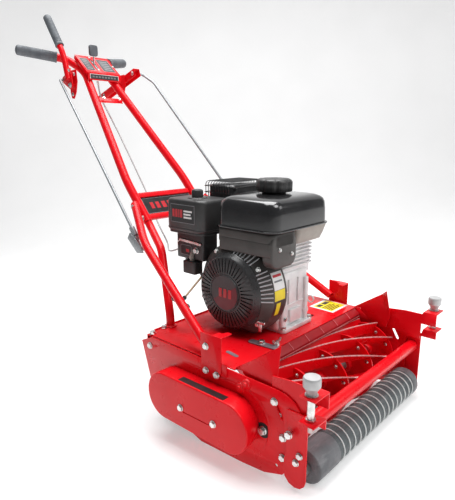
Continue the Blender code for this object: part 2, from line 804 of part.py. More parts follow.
# ---------------------------------------------------------------- engine
BASE = DECK_TOP + 0.0004
case = block("crankcase", (-0.0540, -0.1550, BASE), (0.0780, 0.0100, 0.3940), 0.008)
foot = block("foot", (-0.0480, -0.1640, BASE), (0.0850, 0.0350, BASE + 0.012), 0.002)
barrel = block("barrel", (-0.0310, -0.1500, 0.3800), (0.0930, 0.0280, 0.4680), 0.008)
fuse(case, [foot, barrel])
finish(case, "cast")
shroud = block("cylinder_shroud", (-0.0560, -0.1500, 0.3950), (-0.0316, 0.0090, 0.4850), 0.004)
hood = block("hood", (-0.1300, -0.1900, 0.4745), (-0.0316, -0.0170, 0.5110), 0.006)
lobe = block("lobe", (-0.1290, -0.1900, 0.4270), (-0.0330, -0.1600, 0.5100), 0.006)
fuse(shroud, [hood, lobe])
finish(shroud, "black", smooth=False)


def blower(low, high, reach):
    outline = []
    for i in range(25):
        a = math.radians(-60.0 + i * 300.0 / 24)
        outline.append((CRANK_Y + reach * math.cos(a), CRANK_Z + reach * math.sin(a)))
    return slab("blower_housing", [outline], low, high)


housing = fuse(blower(-0.1100, -0.0565, 0.1180), [blower(-0.1290, -0.1000, 0.1080)])
finish(housing, "black")
profile = [(0.0, 0.0), (0.0980, 0.0), (0.0940, 0.0090), (0.0880, 0.0150)]
profile += [(0.0470, 0.0200), (0.0450, 0.0220), (0.0, 0.0225)]
recoil = lathe("recoil_cover", profile, (-0.1294, CRANK_Y, CRANK_Z), (-1, 0, 0), 28)
finish(recoil, "black")


def cushion(name, low, high, corner, inset, shoulder):
    """A box with rounded upright corners whose top is drawn in above the shoulder height."""
    x0, y0, z0 = low
    x1, y1, z1 = high
    rows = []
    for shrink, z in ((0.0, z0), (0.0, shoulder), (inset * 0.35, (shoulder + z1 * 2) / 3), (inset, z1)):
        row = []
        for cx, cy, start in ((x1, y1, 0), (x0, y1, 90), (x0, y0, 180), (x1, y0, 270)):
            sx = -1 if cx == x1 else 1
            sy = -1 if cy == y1 else 1
            for k in range(5):
                a = math.radians(start + 22.5 * k)
                r = corner - shrink * 0.5
                x = cx + sx * (corner + shrink * 0.5) + r * math.cos(a)
                y = cy + sy * (corner + shrink * 0.5) + r * math.sin(a)
                row.append((x, y, z))
        rows.append(row)
    count = len(rows[0])
    points = [p for row in rows for p in row]
    faces = [tuple(range(count))[::-1], tuple(range(3 * count, 4 * count))]
    for level in range(3):
        for k in range(count):
            a = level * count + k
            b = level * count + (k + 1) % count
            faces.append((a, b, b + count, a + count))
    return mesh_object(name, points, faces)


tank = cushion("fuel_tank", (-0.1330, -0.1960, 0.5125), (0.1030, -0.0140, 0.5930), 0.026, 0.014, 0.5820)
lip = block("lip", (-0.1380, -0.2010, 0.5130), (0.1080, -0.0100, 0.5180), 0.0015)
neck = rod("neck", 0.0300, (-0.0030, -0.0970, 0.5860), (-0.0030, -0.0970, 0.5970), 20)
pan = block("pan", (-0.0290, -0.1850, 0.4700), (0.0900, -0.0300, 0.5150), 0.006)
fuse(tank, [lip, neck, pan])
finish(tank, "black")
profile = [(0.0, 0.0), (0.0430, 0.0), (0.0450, 0.0030), (0.0450, 0.0200), (0.0400, 0.0270), (0.0, 0.0285)]
cap = lathe("fuel_cap", profile, (-0.0030, -0.0970, 0.5976), (0, 0, 1), 24)
finish(cap, "black", (-0.0030, -0.0970, 0.5976))

cleaner = cushion("air_cleaner", (-0.1420, 0.0220, 0.4800), (-0.0300, 0.1620, 0.5700), 0.032, 0.012, 0.5600)
profile = [(0.0, 0.0), (0.016, 0.0), (0.014, 0.028), (0.0, 0.030)]
stud = lathe("stud", profile, (-0.0930, 0.0860, 0.5620), (0, 0, 1), 14)
fuse(cleaner, [stud])
finish(cleaner, "black")
intake = block("carburetor", (-0.1150, 0.0450, 0.4060), (-0.0560, 0.1500, 0.4796), 0.006)
finish(intake, "cast", smooth=False)
muffler = block("muffler", (-0.0230, 0.0300, 0.5050), (0.1200, 0.1250, 0.6050), 0.012)
finish(muffler, "black", smooth=False)

ROPE_EYE = Vector((-0.1320, 0.0300, 0.3770))
GRIP_AT = Vector((-0.1950, 0.0480, 0.3150))
away = (GRIP_AT - ROPE_EYE).normalized()
cross = Vector((0.1800, 0.8320, 0.5220))
cross = (cross - away * cross.dot(away)).normalized()
bar = rod("starter_grip", 0.0085, GRIP_AT - cross * 0.0360, GRIP_AT + cross * 0.0360, 12)
stem = rod("stem", 0.0055, GRIP_AT - away * 0.0200, GRIP_AT, 10)
fuse(bar, [stem])
finish(bar, "black", GRIP_AT)

# ---------------------------------------------------------------- stand it on the ground, centred
stand = Matrix.Translation((-CENTRE_X, -CENTRE_Y, -GROUND)) @ Matrix.Rotation(LEAN, 4, "X")
for obj in bpy.data.objects:
    obj.matrix_basis = stand @ obj.matrix_basis
bpy.context.view_layer.update()
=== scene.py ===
"""Looks for the reel mower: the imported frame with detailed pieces, finishes, fasteners, camera and light."""

import math

import bmesh
import bpy
from mathutils import Matrix, Vector
from mathutils.geometry import tessellate_polygon


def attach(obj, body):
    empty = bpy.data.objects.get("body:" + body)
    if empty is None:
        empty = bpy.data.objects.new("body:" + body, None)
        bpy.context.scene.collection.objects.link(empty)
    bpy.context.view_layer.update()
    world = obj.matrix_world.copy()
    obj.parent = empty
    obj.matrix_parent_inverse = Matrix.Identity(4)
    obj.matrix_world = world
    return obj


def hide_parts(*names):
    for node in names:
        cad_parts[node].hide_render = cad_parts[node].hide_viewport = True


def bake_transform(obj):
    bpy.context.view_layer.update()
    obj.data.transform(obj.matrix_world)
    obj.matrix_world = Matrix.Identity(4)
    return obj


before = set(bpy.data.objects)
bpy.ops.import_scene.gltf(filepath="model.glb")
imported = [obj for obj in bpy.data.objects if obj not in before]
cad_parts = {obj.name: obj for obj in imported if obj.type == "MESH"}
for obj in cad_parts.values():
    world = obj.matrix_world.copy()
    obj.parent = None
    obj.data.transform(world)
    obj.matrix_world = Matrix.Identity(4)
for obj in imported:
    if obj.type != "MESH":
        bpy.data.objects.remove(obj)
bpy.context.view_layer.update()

# Pieces are laid out square to the deck, then stood on the ground: leaned nose down and centred.
LEAN = math.radians(4.5)
CENTRE_X = -0.00485
CENTRE_Y = 0.1437
ROLLER_Y = -0.3693
ROLLER_Z = 0.0762
ROLLER_R = 0.0378
GROUND = ROLLER_Y * math.sin(LEAN) + ROLLER_Z * math.cos(LEAN) - ROLLER_R
WHEEL_R = 0.108
AXLE_Y = -0.004
AXLE_Z = (GROUND + WHEEL_R - AXLE_Y * math.sin(LEAN)) / math.cos(LEAN)
STAND = Matrix.Translation((-CENTRE_X, -CENTRE_Y, -GROUND)) @ Matrix.Rotation(LEAN, 4, "X")
SIGNS = {"right": -1, "left": 1}
TO_RIGHT = (-1, 0, 0)
TO_LEFT = (1, 0, 0)
FORWARD = (0, -1, 0)
UP = (0, 0, 1)
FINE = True


# ---------------------------------------------------------------- finishes
class Nodes:
    """A small helper for writing shader trees."""

    def __init__(self, name):
        self.mat = bpy.data.materials.new(name)
        self.mat.use_nodes = True
        self.tree = self.mat.node_tree
        self.shader = self.tree.nodes["Principled BSDF"]
        self.place = self.tree.nodes.new("ShaderNodeTexCoord").outputs["Object"]

    def set(self, **values):
        for key, value in values.items():
            name = key.replace("_", " ").title().replace("Ior", "IOR")
            self.shader.inputs[name].default_value = value

    def feed(self, name, socket):
        self.tree.links.new(socket, self.shader.inputs[name])

    def noise(self, scale, detail=3.0, rough=0.55, squash=(1, 1, 1)):
        mapped = self.tree.nodes.new("ShaderNodeMapping")
        mapped.inputs["Scale"].default_value = squash
        self.tree.links.new(self.place, mapped.inputs["Vector"])
        made = self.tree.nodes.new("ShaderNodeTexNoise")
        made.inputs["Scale"].default_value = scale
        made.inputs["Detail"].default_value = detail
        made.inputs["Roughness"].default_value = rough
        self.tree.links.new(mapped.outputs["Vector"], made.inputs["Vector"])
        return made.outputs["Fac"]

    def ramp(self, fac, stops):
        made = self.tree.nodes.new("ShaderNodeValToRGB")
        for element, (at, colour) in zip(made.color_ramp.elements, stops):
            element.position = at
            if isinstance(colour, (int, float)):
                colour = (colour, colour, colour)
            element.color = (*colour, 1.0)
        self.tree.links.new(fac, made.inputs["Fac"])
        return made.outputs["Color"]

    def mix(self, fac, under, colour):
        made = self.tree.nodes.new("ShaderNodeMix")
        made.data_type = "RGBA"
        self.tree.links.new(fac, made.inputs["Factor"])
        self.tree.links.new(under, made.inputs[6])
        made.inputs[7].default_value = (*colour, 1.0)
        return made.outputs[2]

    def bump(self, heights):
        """Each height is (socket, strength, distance)."""
        normal = None
        for socket, strength, distance in heights:
            made = self.tree.nodes.new("ShaderNodeBump")
            made.inputs["Strength"].default_value = strength
            made.inputs["Distance"].default_value = distance
            self.tree.links.new(socket, made.inputs["Height"])
            if normal is not None:
                self.tree.links.new(normal, made.inputs["Normal"])
            normal = made.outputs["Normal"]
        self.feed("Normal", normal)


def finish(name, slot, colours, tone, gloss, polish, *grains, scuff=None, **values):
    """A procedural finish, whose slot is not used: a two-colour mottle, uneven roughness, optional scuffs and
    fine bumps.

    tone and polish are (scale, detail) of a noise, and each grain is (scale, detail, strength, distance).
    """
    n = Nodes(name)
    mottle = n.ramp(n.noise(*tone), [(0.3, colours[0]), (0.7, colours[1])])
    if scuff:
        scale, detail, stretch, stops, colour = scuff
        mottle = n.mix(n.ramp(n.noise(scale, detail, 0.7, (stretch, 1, 1)), stops), mottle, colour)
    n.feed("Base Color", mottle)
    n.feed("Roughness", n.ramp(n.noise(*polish), [(0.3, gloss[0]), (0.7, gloss[1])]))
    n.set(**values)
    n.bump([(n.noise(scale, detail), strength, distance) for scale, detail, strength, distance in grains])
    return n.mat


def cast_alloy(name, low, high):
    grains = ((700.0, 3.0, 0.35, 0.0004), (140.0, 3.0, 0.15, 0.0006))
    return finish(
        name, "cast_alloy", (low, high), (24.0, 5.0), (0.42, 0.62), (90.0, 4.0), *grains, metallic=0.45
    )


def plain(name, slot, colour, rough, metal=0.0, grain=500.0):
    """A printed or painted finish with a slight mottle and a fine grain."""
    darker = tuple(c * 0.86 for c in colour)
    gloss = (rough * 0.85, min(rough * 1.15, 1.0))
    bump = (grain, 2.0, 0.12, 0.0003)
    return finish(name, slot, (darker, colour), (35.0, 3.0), gloss, (80.0, 3.0), bump, metallic=metal)


RED = finish(
    "red_powder_coat",
    "red_paint",
    ((0.7, 0.0025, 0.008), (0.8, 0.004, 0.011)),
    (9.0, 4.0),
    (0.24, 0.38),
    (30.0, 4.0),
    (420.0, 2.0, 0.1, 0.0004),
    (60.0, 2.0, 0.05, 0.001),
    coat_weight=0.06,
    coat_roughness=0.12,
    specular_ior_level=0.2,
)
ZINC = finish(
    "zinc_plate",
    "zinc_steel",
    ((0.5, 0.51, 0.5), (0.78, 0.79, 0.77)),
    (70.0, 4.0),
    (0.22, 0.42),
    (160.0, 4.0),
    (500.0, 2.0, 0.12, 0.0003),
    metallic=1.0,
)
STEEL = finish(
    "bare_steel",
    "bare_steel",
    ((0.22, 0.21, 0.2), (0.42, 0.42, 0.42)),
    (40.0, 5.0),
    (0.32, 0.55),
    (120.0, 4.0),
    (350.0, 3.0, 0.2, 0.0004),
    metallic=0.9,
)
BLACK = finish(
    "satin_black_plastic",
    "black_plastic",
    ((0.022, 0.022, 0.023), (0.036, 0.035, 0.035)),
    (18.0, 4.0),
    (0.34, 0.48),
    (60.0, 4.0),
    (900.0, 2.0, 0.18, 0.0003),
    specular_ior_level=0.55,
)
COWL = finish(
    "cowl_black",
    "black_plastic",
    ((0.05, 0.047, 0.044), (0.072, 0.067, 0.062)),
    (14.0, 4.0),
    (0.4, 0.52),
    (50.0, 4.0),
    (800.0, 2.0, 0.22, 0.0003),
)
ENAMEL = finish(
    "black_enamel",
    "black_enamel",
    ((0.01, 0.01, 0.011), (0.018, 0.018, 0.019)),
    (12.0, 3.0),
    (0.16, 0.26),
    (40.0, 4.0),
    (260.0, 2.0, 0.06, 0.0004),
    coat_weight=0.6,
    coat_roughness=0.08,
)
GRIP = finish(
    "grey_grip",
    "grey_grip",
    ((0.085, 0.095, 0.108), (0.145, 0.158, 0.172)),
    (45.0, 4.0),
    (0.52, 0.7),
    (120.0, 3.0),
    (1100.0, 2.0, 0.4, 0.0004),
    (120.0, 2.0, 0.2, 0.0005),
)
RUBBER = finish(
    "matt_rubber",
    "tyre_rubber",
    ((0.016, 0.016, 0.016), (0.036, 0.036, 0.035)),
    (60.0, 4.0),
    (0.7, 0.9),
    (60.0, 3.0),
    (700.0, 3.0, 0.4, 0.0005),
)
ROLLER = finish(
    "roller_rubber",
    "roller_rubber",
    ((0.05, 0.062, 0.066), (0.085, 0.1, 0.104)),
    (26.0, 5.0),
    (0.5, 0.72),
    (50.0, 3.0),
    (420.0, 4.0, 0.35, 0.0006),
    scuff=(120.0, 5.0, 0.25, [(0.5, 0.0), (0.72, 0.55)], (0.19, 0.21, 0.215)),
)
SLEEVE = finish(
    "worn_sleeve",
    "roller_rubber",
    ((0.085, 0.09, 0.098), (0.16, 0.165, 0.175)),
    (22.0, 5.0),
    (0.42, 0.66),
    (70.0, 3.0),
    (300.0, 5.0, 0.35, 0.0007),
    scuff=(80.0, 6.0, 0.2, [(0.48, 0.0), (0.75, 0.7)], (0.27, 0.27, 0.28)),
)
CAST = cast_alloy("cast_alloy", 0.66, 0.88)
KNOB = cast_alloy("knob_alloy", 0.42, 0.56)
ROD_STEEL = plain("rod_zinc", "zinc_steel", (0.34, 0.36, 0.375), 0.28, 0.25)
TAG = plain("tag_grey", "zinc_steel", (0.28, 0.22, 0.25), 0.45, 0.3)
# A dark red painted shade, for the channel web under the deck's front edge.
PAINTED_SHADE_RED = plain("painted_shade_red", "red_paint", (0.36, 0.002, 0.007), 0.4)
# A pale pink painted highlight, for the lit edges of the channel's ribs and foot.
PAINTED_GLINT = plain("painted_edge_glint", "red_paint", (0.85, 0.22, 0.24), 0.3)
# Partly the ground steel cutting edge, partly a painted highlight: the pale pink stands for light caught on
# the blade edges.
GROUND_EDGE_AND_HIGHLIGHT = plain("ground_edge_and_painted_highlight", "bare_steel", (0.8, 0.42, 0.42), 0.28, 0.5)
RING = plain("ring_edge", "roller_rubber", (0.74, 0.77, 0.76), 0.45)
CABLE_GREY = plain("cable_grey", "cable_jacket", (0.5, 0.5, 0.5), 0.4, 0.3)
ROPE = plain("starter_rope", "cable_jacket", (0.62, 0.5, 0.33), 0.85, grain=1500.0)
WHITE = plain("label_white", "black_plastic", (0.8, 0.81, 0.8), 0.4)
YELLOW = plain("label_yellow", "black_plastic", (0.86, 0.7, 0.02), 0.4)
LABEL_BLACK = plain("label_black", "black_plastic", (0.016, 0.016, 0.017), 0.35)
LABEL_RED = plain("label_red", "black_plastic", (0.55, 0.02, 0.03), 0.35)
LABEL_GREY = plain("label_grey", "black_plastic", (0.2, 0.2, 0.21), 0.4)
LABEL_PALE = plain("label_pale", "black_plastic", (0.52, 0.46, 0.47), 0.4)
FAN_GREY = plain("fan_cover_grey", "black_plastic", (0.04, 0.04, 0.041), 0.28)
WELL = plain("recoil_disc_grey", "black_plastic", (0.06, 0.058, 0.06), 0.45)
MAROON = plain("recoil_disc_maroon", "black_plastic", (0.16, 0.012, 0.022), 0.4)
# Pale grey as a painted highlight on the black plastic grille bars.
PAINTED_HIGHLIGHT_BAR = plain("painted_highlight_grille_bar", "black_plastic", (0.5, 0.51, 0.53), 0.35, 0.3)
# Near black as painted shade, for the recess round the reel bearing nut.
PAINTED_SHADE_BLACK = plain("painted_shade_black", "black_plastic", (0.006, 0.006, 0.006), 0.7)
# Pale grey, used as a painted reflection of the bright floor on the tank's black lower pan, and as the grey of
# the neck by the carburettor.
GREY_AND_PAINTED_REFLECTION = plain("grey_and_painted_reflection", "black_enamel", (0.36, 0.34, 0.3), 0.5)


# ---------------------------------------------------------------- mesh helpers
def mesh_object(name, points, faces):
    mesh = bpy.data.meshes.new(name)
    mesh.from_pydata([tuple(p) for p in points], [], [tuple(f) for f in faces])
    work = bmesh.new()
    work.from_mesh(mesh)
    bmesh.ops.remove_doubles(work, verts=work.verts, dist=1e-6)
    bmesh.ops.recalc_face_normals(work, faces=work.faces)
    work.to_mesh(mesh)
    work.free()
    obj = bpy.data.objects.new(name, mesh)
    bpy.context.collection.objects.link(obj)
    return obj


def placed(u, v, w, axis):
    """The point at (u, v) in the plane square to the axis, w along it."""
    if axis == "X":
        return (w, u, v)
    if axis == "Y":
        return (u, w, v)
    return (u, v, w)


def slab(name, loops, low, high, axis="X"):
    """A flat plate of the outlines, the first the edge and the others holes, between two heights."""
    flat = [[Vector((u, v, 0.0)) for u, v in loop] for loop in loops]
    triangles = tessellate_polygon(flat)
    count = sum(len(loop) for loop in loops)
    points = [placed(u, v, low, axis) for loop in loops for u, v in loop]
    points += [placed(u, v, high, axis) for loop in loops for u, v in loop]
    faces = [tuple(t) for t in triangles]
    faces += [tuple(i + count for i in reversed(t)) for t in triangles]
    start = 0
    for loop in loops:
        size = len(loop)
        for i in range(size):
            a = start + i
            b = start + (i + 1) % size
            faces.append((a, b, b + count, a + count))
        start += size
    return mesh_object(name, points, faces)


def ring(cu, cv, radius, steps):
    angles = [2 * math.pi * i / steps for i in range(steps)]
    return [(cu + radius * math.cos(a), cv + radius * math.sin(a)) for a in angles]


def capsule(u0, v0, u1, v1, radius, steps=16):
    """A long round-ended outline from one centre to the other."""
    lean = math.atan2(v1 - v0, u1 - u0)
    points = []
    for u, v, quarter in ((u0, v0, math.pi / 2), (u1, v1, -math.pi / 2)):
        for i in range(steps + 1):
            a = lean + quarter + math.pi * i / steps
            points.append((u + radius * math.cos(a), v + radius * math.sin(a)))
    return points


def round_rect(u0, v0, u1, v1, radius, steps=6):
    """A rectangle with rounded corners."""
    points = []
    corners = ((u1, v1, 0), (u0, v1, 90), (u0, v0, 180), (u1, v0, 270))
    for u, v, turn in corners:
        cu = u - radius if turn in (0, 270) else u + radius
        cv = v - radius if turn in (0, 90) else v + radius
        for i in range(steps + 1):
            a = math.radians(turn + 90 * i / steps)
            points.append((cu + radius * math.cos(a), cv + radius * math.sin(a)))
    return points


def loft(name, loops):
    """Closed loops of equal length, each a list of 3-D points, skinned in order and capped."""
    size = len(loops[0])
    points = [p for loop in loops for p in loop]
    faces = [tuple(range(size))[::-1], tuple((len(loops) - 1) * size + i for i in range(size))]
    for k in range(len(loops) - 1):
        for i in range(size):
            a = k * size + i
            b = k * size + (i + 1) % size
            faces.append((a, b, b + size, a + size))
    return mesh_object(name, points, faces)


def lathe(name, profile, origin, axis, steps=32):
    """Turns a profile of (radius, height) round an axis. Ends off the axis are joined to each other."""
    along = Vector(axis).normalized()
    side = along.orthogonal().normalized()
    other = along.cross(side)
    open_ends = profile[0][0] < 1e-9 and profile[-1][0] < 1e-9
    points = []
    rows = []
    for radius, height in profile:
        centre = Vector(origin) + along * height
        if radius < 1e-9:
            rows.append([len(points)] * steps)
            points.append(centre)
            continue
        row = []
        for i in range(steps):
            a = 2 * math.pi * i / steps
            row.append(len(points))
            points.append(centre + (side * math.cos(a) + other * math.sin(a)) * radius)
        rows.append(row)
    faces = []
    pairs = list(zip(rows[:-1], rows[1:]))
    if not open_ends:
        pairs.append((rows[-1], rows[0]))
    for low, high in pairs:
        for i in range(steps):
            j = (i + 1) % steps
            corner = [low[i], low[j], high[j], high[i]]
            kept = [c for k, c in enumerate(corner) if c not in corner[:k]]
            if len(kept) > 2:
                faces.append(tuple(kept))
    return mesh_object(name, points, faces)


def rod(name, radius, start, end, steps=16, edge=0.0):
    """A round bar between two points, its ends chamfered by edge."""
    a = Vector(start)
    b = Vector(end)
    length = (b - a).length
    if edge:
        profile = [(0.0, 0.0), (radius - edge, 0.0), (radius, edge), (radius, length - edge)]
        profile += [(radius - edge, length), (0.0, length)]
    else:
        profile = [(0.0, 0.0), (radius, 0.0), (radius, length), (0.0, length)]
    return lathe(name, profile, a, b - a, steps)


def bent(path, radius, steps=8):
    """The path with its corners rounded."""
    points = [Vector(path[0])]
    for before, corner, after in zip(path[:-2], path[1:-1], path[2:]):
        corner = Vector(corner)
        back = (Vector(before) - corner).normalized()
        ahead = (Vector(after) - corner).normalized()
        for i in range(steps + 1):
            t = i / steps
            a = corner + back * radius
            c = corner + ahead * radius
            points.append(a * (1 - t) ** 2 + corner * 2 * t * (1 - t) + c * t**2)
    points.append(Vector(path[-1]))
    return points


def tube(name, path, radius, steps=24):
    """A round bar swept along the path."""
    path = [Vector(p) for p in path]
    heading = (path[1] - path[0]).normalized()
    side = heading.orthogonal().normalized()
    points = []
    rows = []
    for i, place in enumerate(path):
        before = path[max(i - 1, 0)]
        after = path[min(i + 1, len(path) - 1)]
        heading = (after - before).normalized()
        side = (side - heading * side.dot(heading)).normalized()
        other = heading.cross(side)
        row = []
        for k in range(steps):
            a = 2 * math.pi * k / steps
            row.append(len(points))
            points.append(place + (side * math.cos(a) + other * math.sin(a)) * radius)
        rows.append(row)
    faces = [tuple(rows[0][::-1]), tuple(rows[-1])]
    for low, high in zip(rows[:-1], rows[1:]):
        for k in range(steps):
            j = (k + 1) % steps
            faces.append((low[k], low[j], high[j], high[k]))
    return mesh_object(name, points, faces)


def block(name, low, high, chamfer=0.0, steps=2):
    x0, y0, z0 = low
    x1, y1, z1 = high
    obj = slab(name, [[(x0, y0), (x1, y0), (x1, y1), (x0, y1)]], z0, z1, "Z")
    if chamfer:
        soften(obj, chamfer, steps)
    return obj


def soften(obj, width, steps=2, angle=30.0):
    """Rounds the sharp edges of a mesh."""
    work = bmesh.new()
    work.from_mesh(obj.data)
    bmesh.ops.dissolve_limit(work, angle_limit=0.01, verts=work.verts, edges=work.edges)
    sharp = [e for e in work.edges if len(e.link_faces) == 2 and e.calc_face_angle() > math.radians(angle)]
    bmesh.ops.bevel(
        work, geom=sharp, offset=width, segments=steps, profile=0.5, affect="EDGES", clamp_overlap=True
    )
    work.to_mesh(obj.data)
    work.free()
    return obj


def joined(name, pieces):
    points = []
    faces = []
    for item in pieces:
        start = len(points)
        points += [v.co.copy() for v in item.data.vertices]
        faces += [tuple(start + i for i in poly.vertices) for poly in item.data.polygons]
        bpy.data.objects.remove(item, do_unlink=True)
    mesh = bpy.data.meshes.new(name)
    mesh.from_pydata([tuple(p) for p in points], [], faces)
    obj = bpy.data.objects.new(name, mesh)
    bpy.context.collection.objects.link(obj)
    return obj


def cut(base, tools):
    tool = joined(base.name + "_tool", tools) if len(tools) > 1 else tools[0]
    step = base.modifiers.new("cut", "BOOLEAN")
    step.solver = "EXACT"
    step.object = tool
    graph = bpy.context.evaluated_depsgraph_get()
    made = bpy.data.meshes.new_from_object(base.evaluated_get(graph))
    base.modifiers.clear()
    base.data = made
    bpy.data.objects.remove(tool, do_unlink=True)
    return base


def at_side(side, points):
    """Points laid out for the right side, mirrored for the left."""
    return points if side == "right" else [(-x, y, z) for x, y, z in points]


def piece(obj, material, replaces=(), body="frame", angle=35.0):
    """Stands a laid-out piece in the frame and gives it its finish and body."""
    obj.data.transform(STAND)
    obj.data.materials.clear()
    obj.data.materials.append(material)
    obj.data.shade_smooth()
    obj.data.set_sharp_from_angle(angle=math.radians(angle))
    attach(obj, body)
    if replaces:
        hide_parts(*replaces)
    return obj


def dress(material, edge, *nodes):
    """Gives carried-over CAD nodes their finish, and softens their sheet edges."""
    for node in nodes:
        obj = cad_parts[node]
        obj.data.materials.clear()
        obj.data.materials.append(material)
        obj.data.shade_smooth()
        weld = obj.modifiers.new("weld", "WELD")
        weld.merge_threshold = 0.00001
        soft = obj.modifiers.new("edge", "BEVEL")
        soft.width = edge
        soft.segments = 2
        soft.limit_method = "ANGLE"
        soft.angle_limit = math.radians(30)
        soft.harden_normals = True


def both(name):
    return [f"{side}_{name}" for side in SIGNS]


def hex_head(name, at, axis, flats=0.0065, height=0.0052, washer=0.0085):
    """A flanged hex head with a domed top and its washer, standing on the point along the axis."""
    along = Vector(axis).normalized()
    side = along.orthogonal().normalized()
    other = along.cross(side)
    at = Vector(at)
    corner = flats / math.cos(math.pi / 6)
    loops = []
    for radius, lift in (
        (corner * 0.97, 0.0012), (corner, 0.0016), (corner, height - 0.0008), (corner * 0.86, height)
    ):
        loop = []
        for i in range(6):
            a = math.pi / 3 * i + 0.3
            loop.append(at + along * lift + (side * math.cos(a) + other * math.sin(a)) * radius)
        loops.append(loop)
    head = loft(name, loops)
    profile = [(0.0, 0.0), (washer, 0.0), (washer, 0.0008), (washer * 0.9, 0.0014), (0.0, 0.0014)]
    return [head, lathe(name + "_w", profile, at, along, 18)]


def bolts(name, points, axis, flats=0.0065, height=0.0052, washer=0.0085, body="frame"):
    """One zinc piece holding the heads at the points, all facing along the axis."""
    pieces = []
    for number, at in enumerate(points):
        pieces += hex_head(f"{name}{number}", at, axis, flats, height, washer)
    piece(joined(name, pieces), ZINC, body=body)


BOX_FACES = [(0, 3, 2, 1), (4, 5, 6, 7), (0, 1, 5, 4), (1, 2, 6, 5), (2, 3, 7, 6), (3, 0, 4, 7)]


def decal(name, corners, lift, material):
    """A thin printed patch over a flat four-cornered area, given a thickness along its own normal."""
    a, b, c, d = (Vector(p) for p in corners)
    normal = (b - a).cross(d - a).normalized() * lift
    points = [p - normal * 0.2 for p in (a, b, c, d)] + [p + normal for p in (a, b, c, d)]
    piece(mesh_object(name, points, BOX_FACES), material)


def marks(name, corners, lift, rows, material):
    """Raised blocks in place of lettering. Each row is (across, up, width, height), as shares of the patch."""
    a, b, c, d = (Vector(p) for p in corners)
    right = b - a
    up = d - a
    normal = right.cross(up).normalized() * lift
    points = []
    faces = []
    for across, rise, width, height in rows:
        base = a + right * across + up * rise
        quad = [base, base + right * width, base + right * width + up * height, base + up * height]
        start = len(points)
        points += quad + [p + normal for p in quad]
        faces += [tuple(start + k for k in face) for face in BOX_FACES]
    piece(mesh_object(name, points, faces), material)


# ---------------------------------------------------------------- side plates, deck and cover
dress(
    RED,
    0.0007,
    *both("side_plate"),
    "engine_deck",
    "rear_apron",
    *both("side_shield"),
    *both("handle_bracket"),
)
dress(RED, 0.0006, *both("roller_bracket"), *both("knob_bracket"), *both("lever_bracket"))
dress(RED, 0.0012, "upper_crossbar", "lower_crossbar")
dress(RED, 0.0006, "front_tie_tube", "left_lever", "control_panel")
dress(STEEL, 0.0005, "bedknife", "countershaft", "engine_pulley", "rear_axle", "reel_chain", "roller_axle")
dress(RUBBER, 0.0008, "drive_belt")
dress(ENAMEL, 0.0004, "name_panel")

PLATE_X = 0.2722
DECK_Z = 0.2422
RIM = 0.057
FACE_X = -0.319
loops = []
for x, radius in (
    (-0.2724, RIM),
    (-0.3158, RIM),
    (-0.3177, RIM - 0.0005),
    (-0.3187, RIM - 0.0016),
    (FACE_X, RIM - 0.0035),
):
    front = -0.223 + 0.007 * (x - FACE_X) / 0.0466
    loops.append([Vector((x, y, z)) for y, z in capsule(front, 0.135, -0.023, 0.132, radius, 40)])
groove = slab("groove", [capsule(-0.174, 0.122, -0.091, 0.119, 0.0024, 10)], -0.321, FACE_X + 0.0014)
piece(cut(loft("chain_cover_shell", loops), [groove]), RED, ["chain_cover"], angle=40)
bolts("cover_bolts", [(FACE_X, -0.0823, 0.1258), (FACE_X, -0.1851, 0.1284)], TO_RIGHT, 0.0065, 0.005)
near = 0.1327 + RIM
far = 0.1348 + RIM
strip = [(-0.3145, -0.07, near), (-0.3145, -0.21, far), (-0.296, -0.21, far), (-0.296, -0.07, near)]
decal("cover_label", strip, -0.0003, LABEL_BLACK)
words = ((0.04, 4), (0.35, 5), (0.71, 4))
rows = [(first + 0.06 * k, 0.22, 0.04, 0.56) for first, count in words for k in range(count)]
marks("cover_label_marks", strip, -0.0011, rows, LABEL_PALE)


def plate_ridge(name, sign, track, half, lift):
    """A pressed ridge along a (y, z) track on the outside of a side plate."""
    loops = []
    count = len(track) - 1
    for i, (y, z) in enumerate(track):
        ahead = track[min(i + 1, count)]
        behind = track[max(i - 1, 0)]
        along = Vector((ahead[0] - behind[0], ahead[1] - behind[1])).normalized()
        fade = min(1.0, i / 4, (count - i) / 4)
        loop = []
        for reach, rise in ((-half, 0.0), (-half * 0.5, 0.75), (0.0, 1.0), (half * 0.5, 0.75), (half, 0.0)):
            x = sign * (0.2716 + (lift * rise * fade + 0.0002))
            loop.append(Vector((x, y - along.y * reach, z + along.x * reach)))
        loop.append(Vector((sign * 0.271, y, z)))
        loops.append(loop)
    piece(loft(name, loops), RED, angle=60)


track = [(-0.03 - 0.0193 * i, 0.2085 + 0.00035 * i) for i in range(10)]
for degrees in range(90, 221, 5):
    a = math.radians(degrees)
    track.append((-0.223 + 0.077 * math.cos(a), 0.135 + 0.077 * math.sin(a)))
for side, sign in SIGNS.items():
    plate_ridge(f"{side}_plate_ridge", sign, track, 0.0045, 0.002)

for side, sign in SIGNS.items():
    out = (sign, 0, 0)
    spots = ((0.079, 0.214), (-0.334, 0.14), (-0.334, 0.095), (-0.311, 0.211))
    bolts(f"{side}_plate_bolts", [(sign * PLATE_X, y, z) for y, z in spots], out)
    spots = ((-0.1225, 0.274), (-0.1225, 0.216), (-0.155, 0.215))
    bolts(f"{side}_bracket_bolts", [(sign * 0.2755, y, z) for y, z in spots], out)
    spots = [(sign * 0.2768, y, z) for y, z in ((-0.377, 0.1215), (-0.369, 0.103))]
    bolts(f"{side}_roller_bolts", spots, out, 0.0058, 0.0046, 0.0075, "roller_frame")
    # The long clamp bolt through the edge of the side plate.
    end = (sign * 0.2845, -0.356, 0.163)
    shank = rod("shank", 0.0042, (sign * 0.2724, -0.356, 0.163), end, 16)
    piece(joined(f"{side}_clamp_bolt", [shank, *hex_head("head", end, out, 0.007, 0.006, 0.0085)]), ZINC)

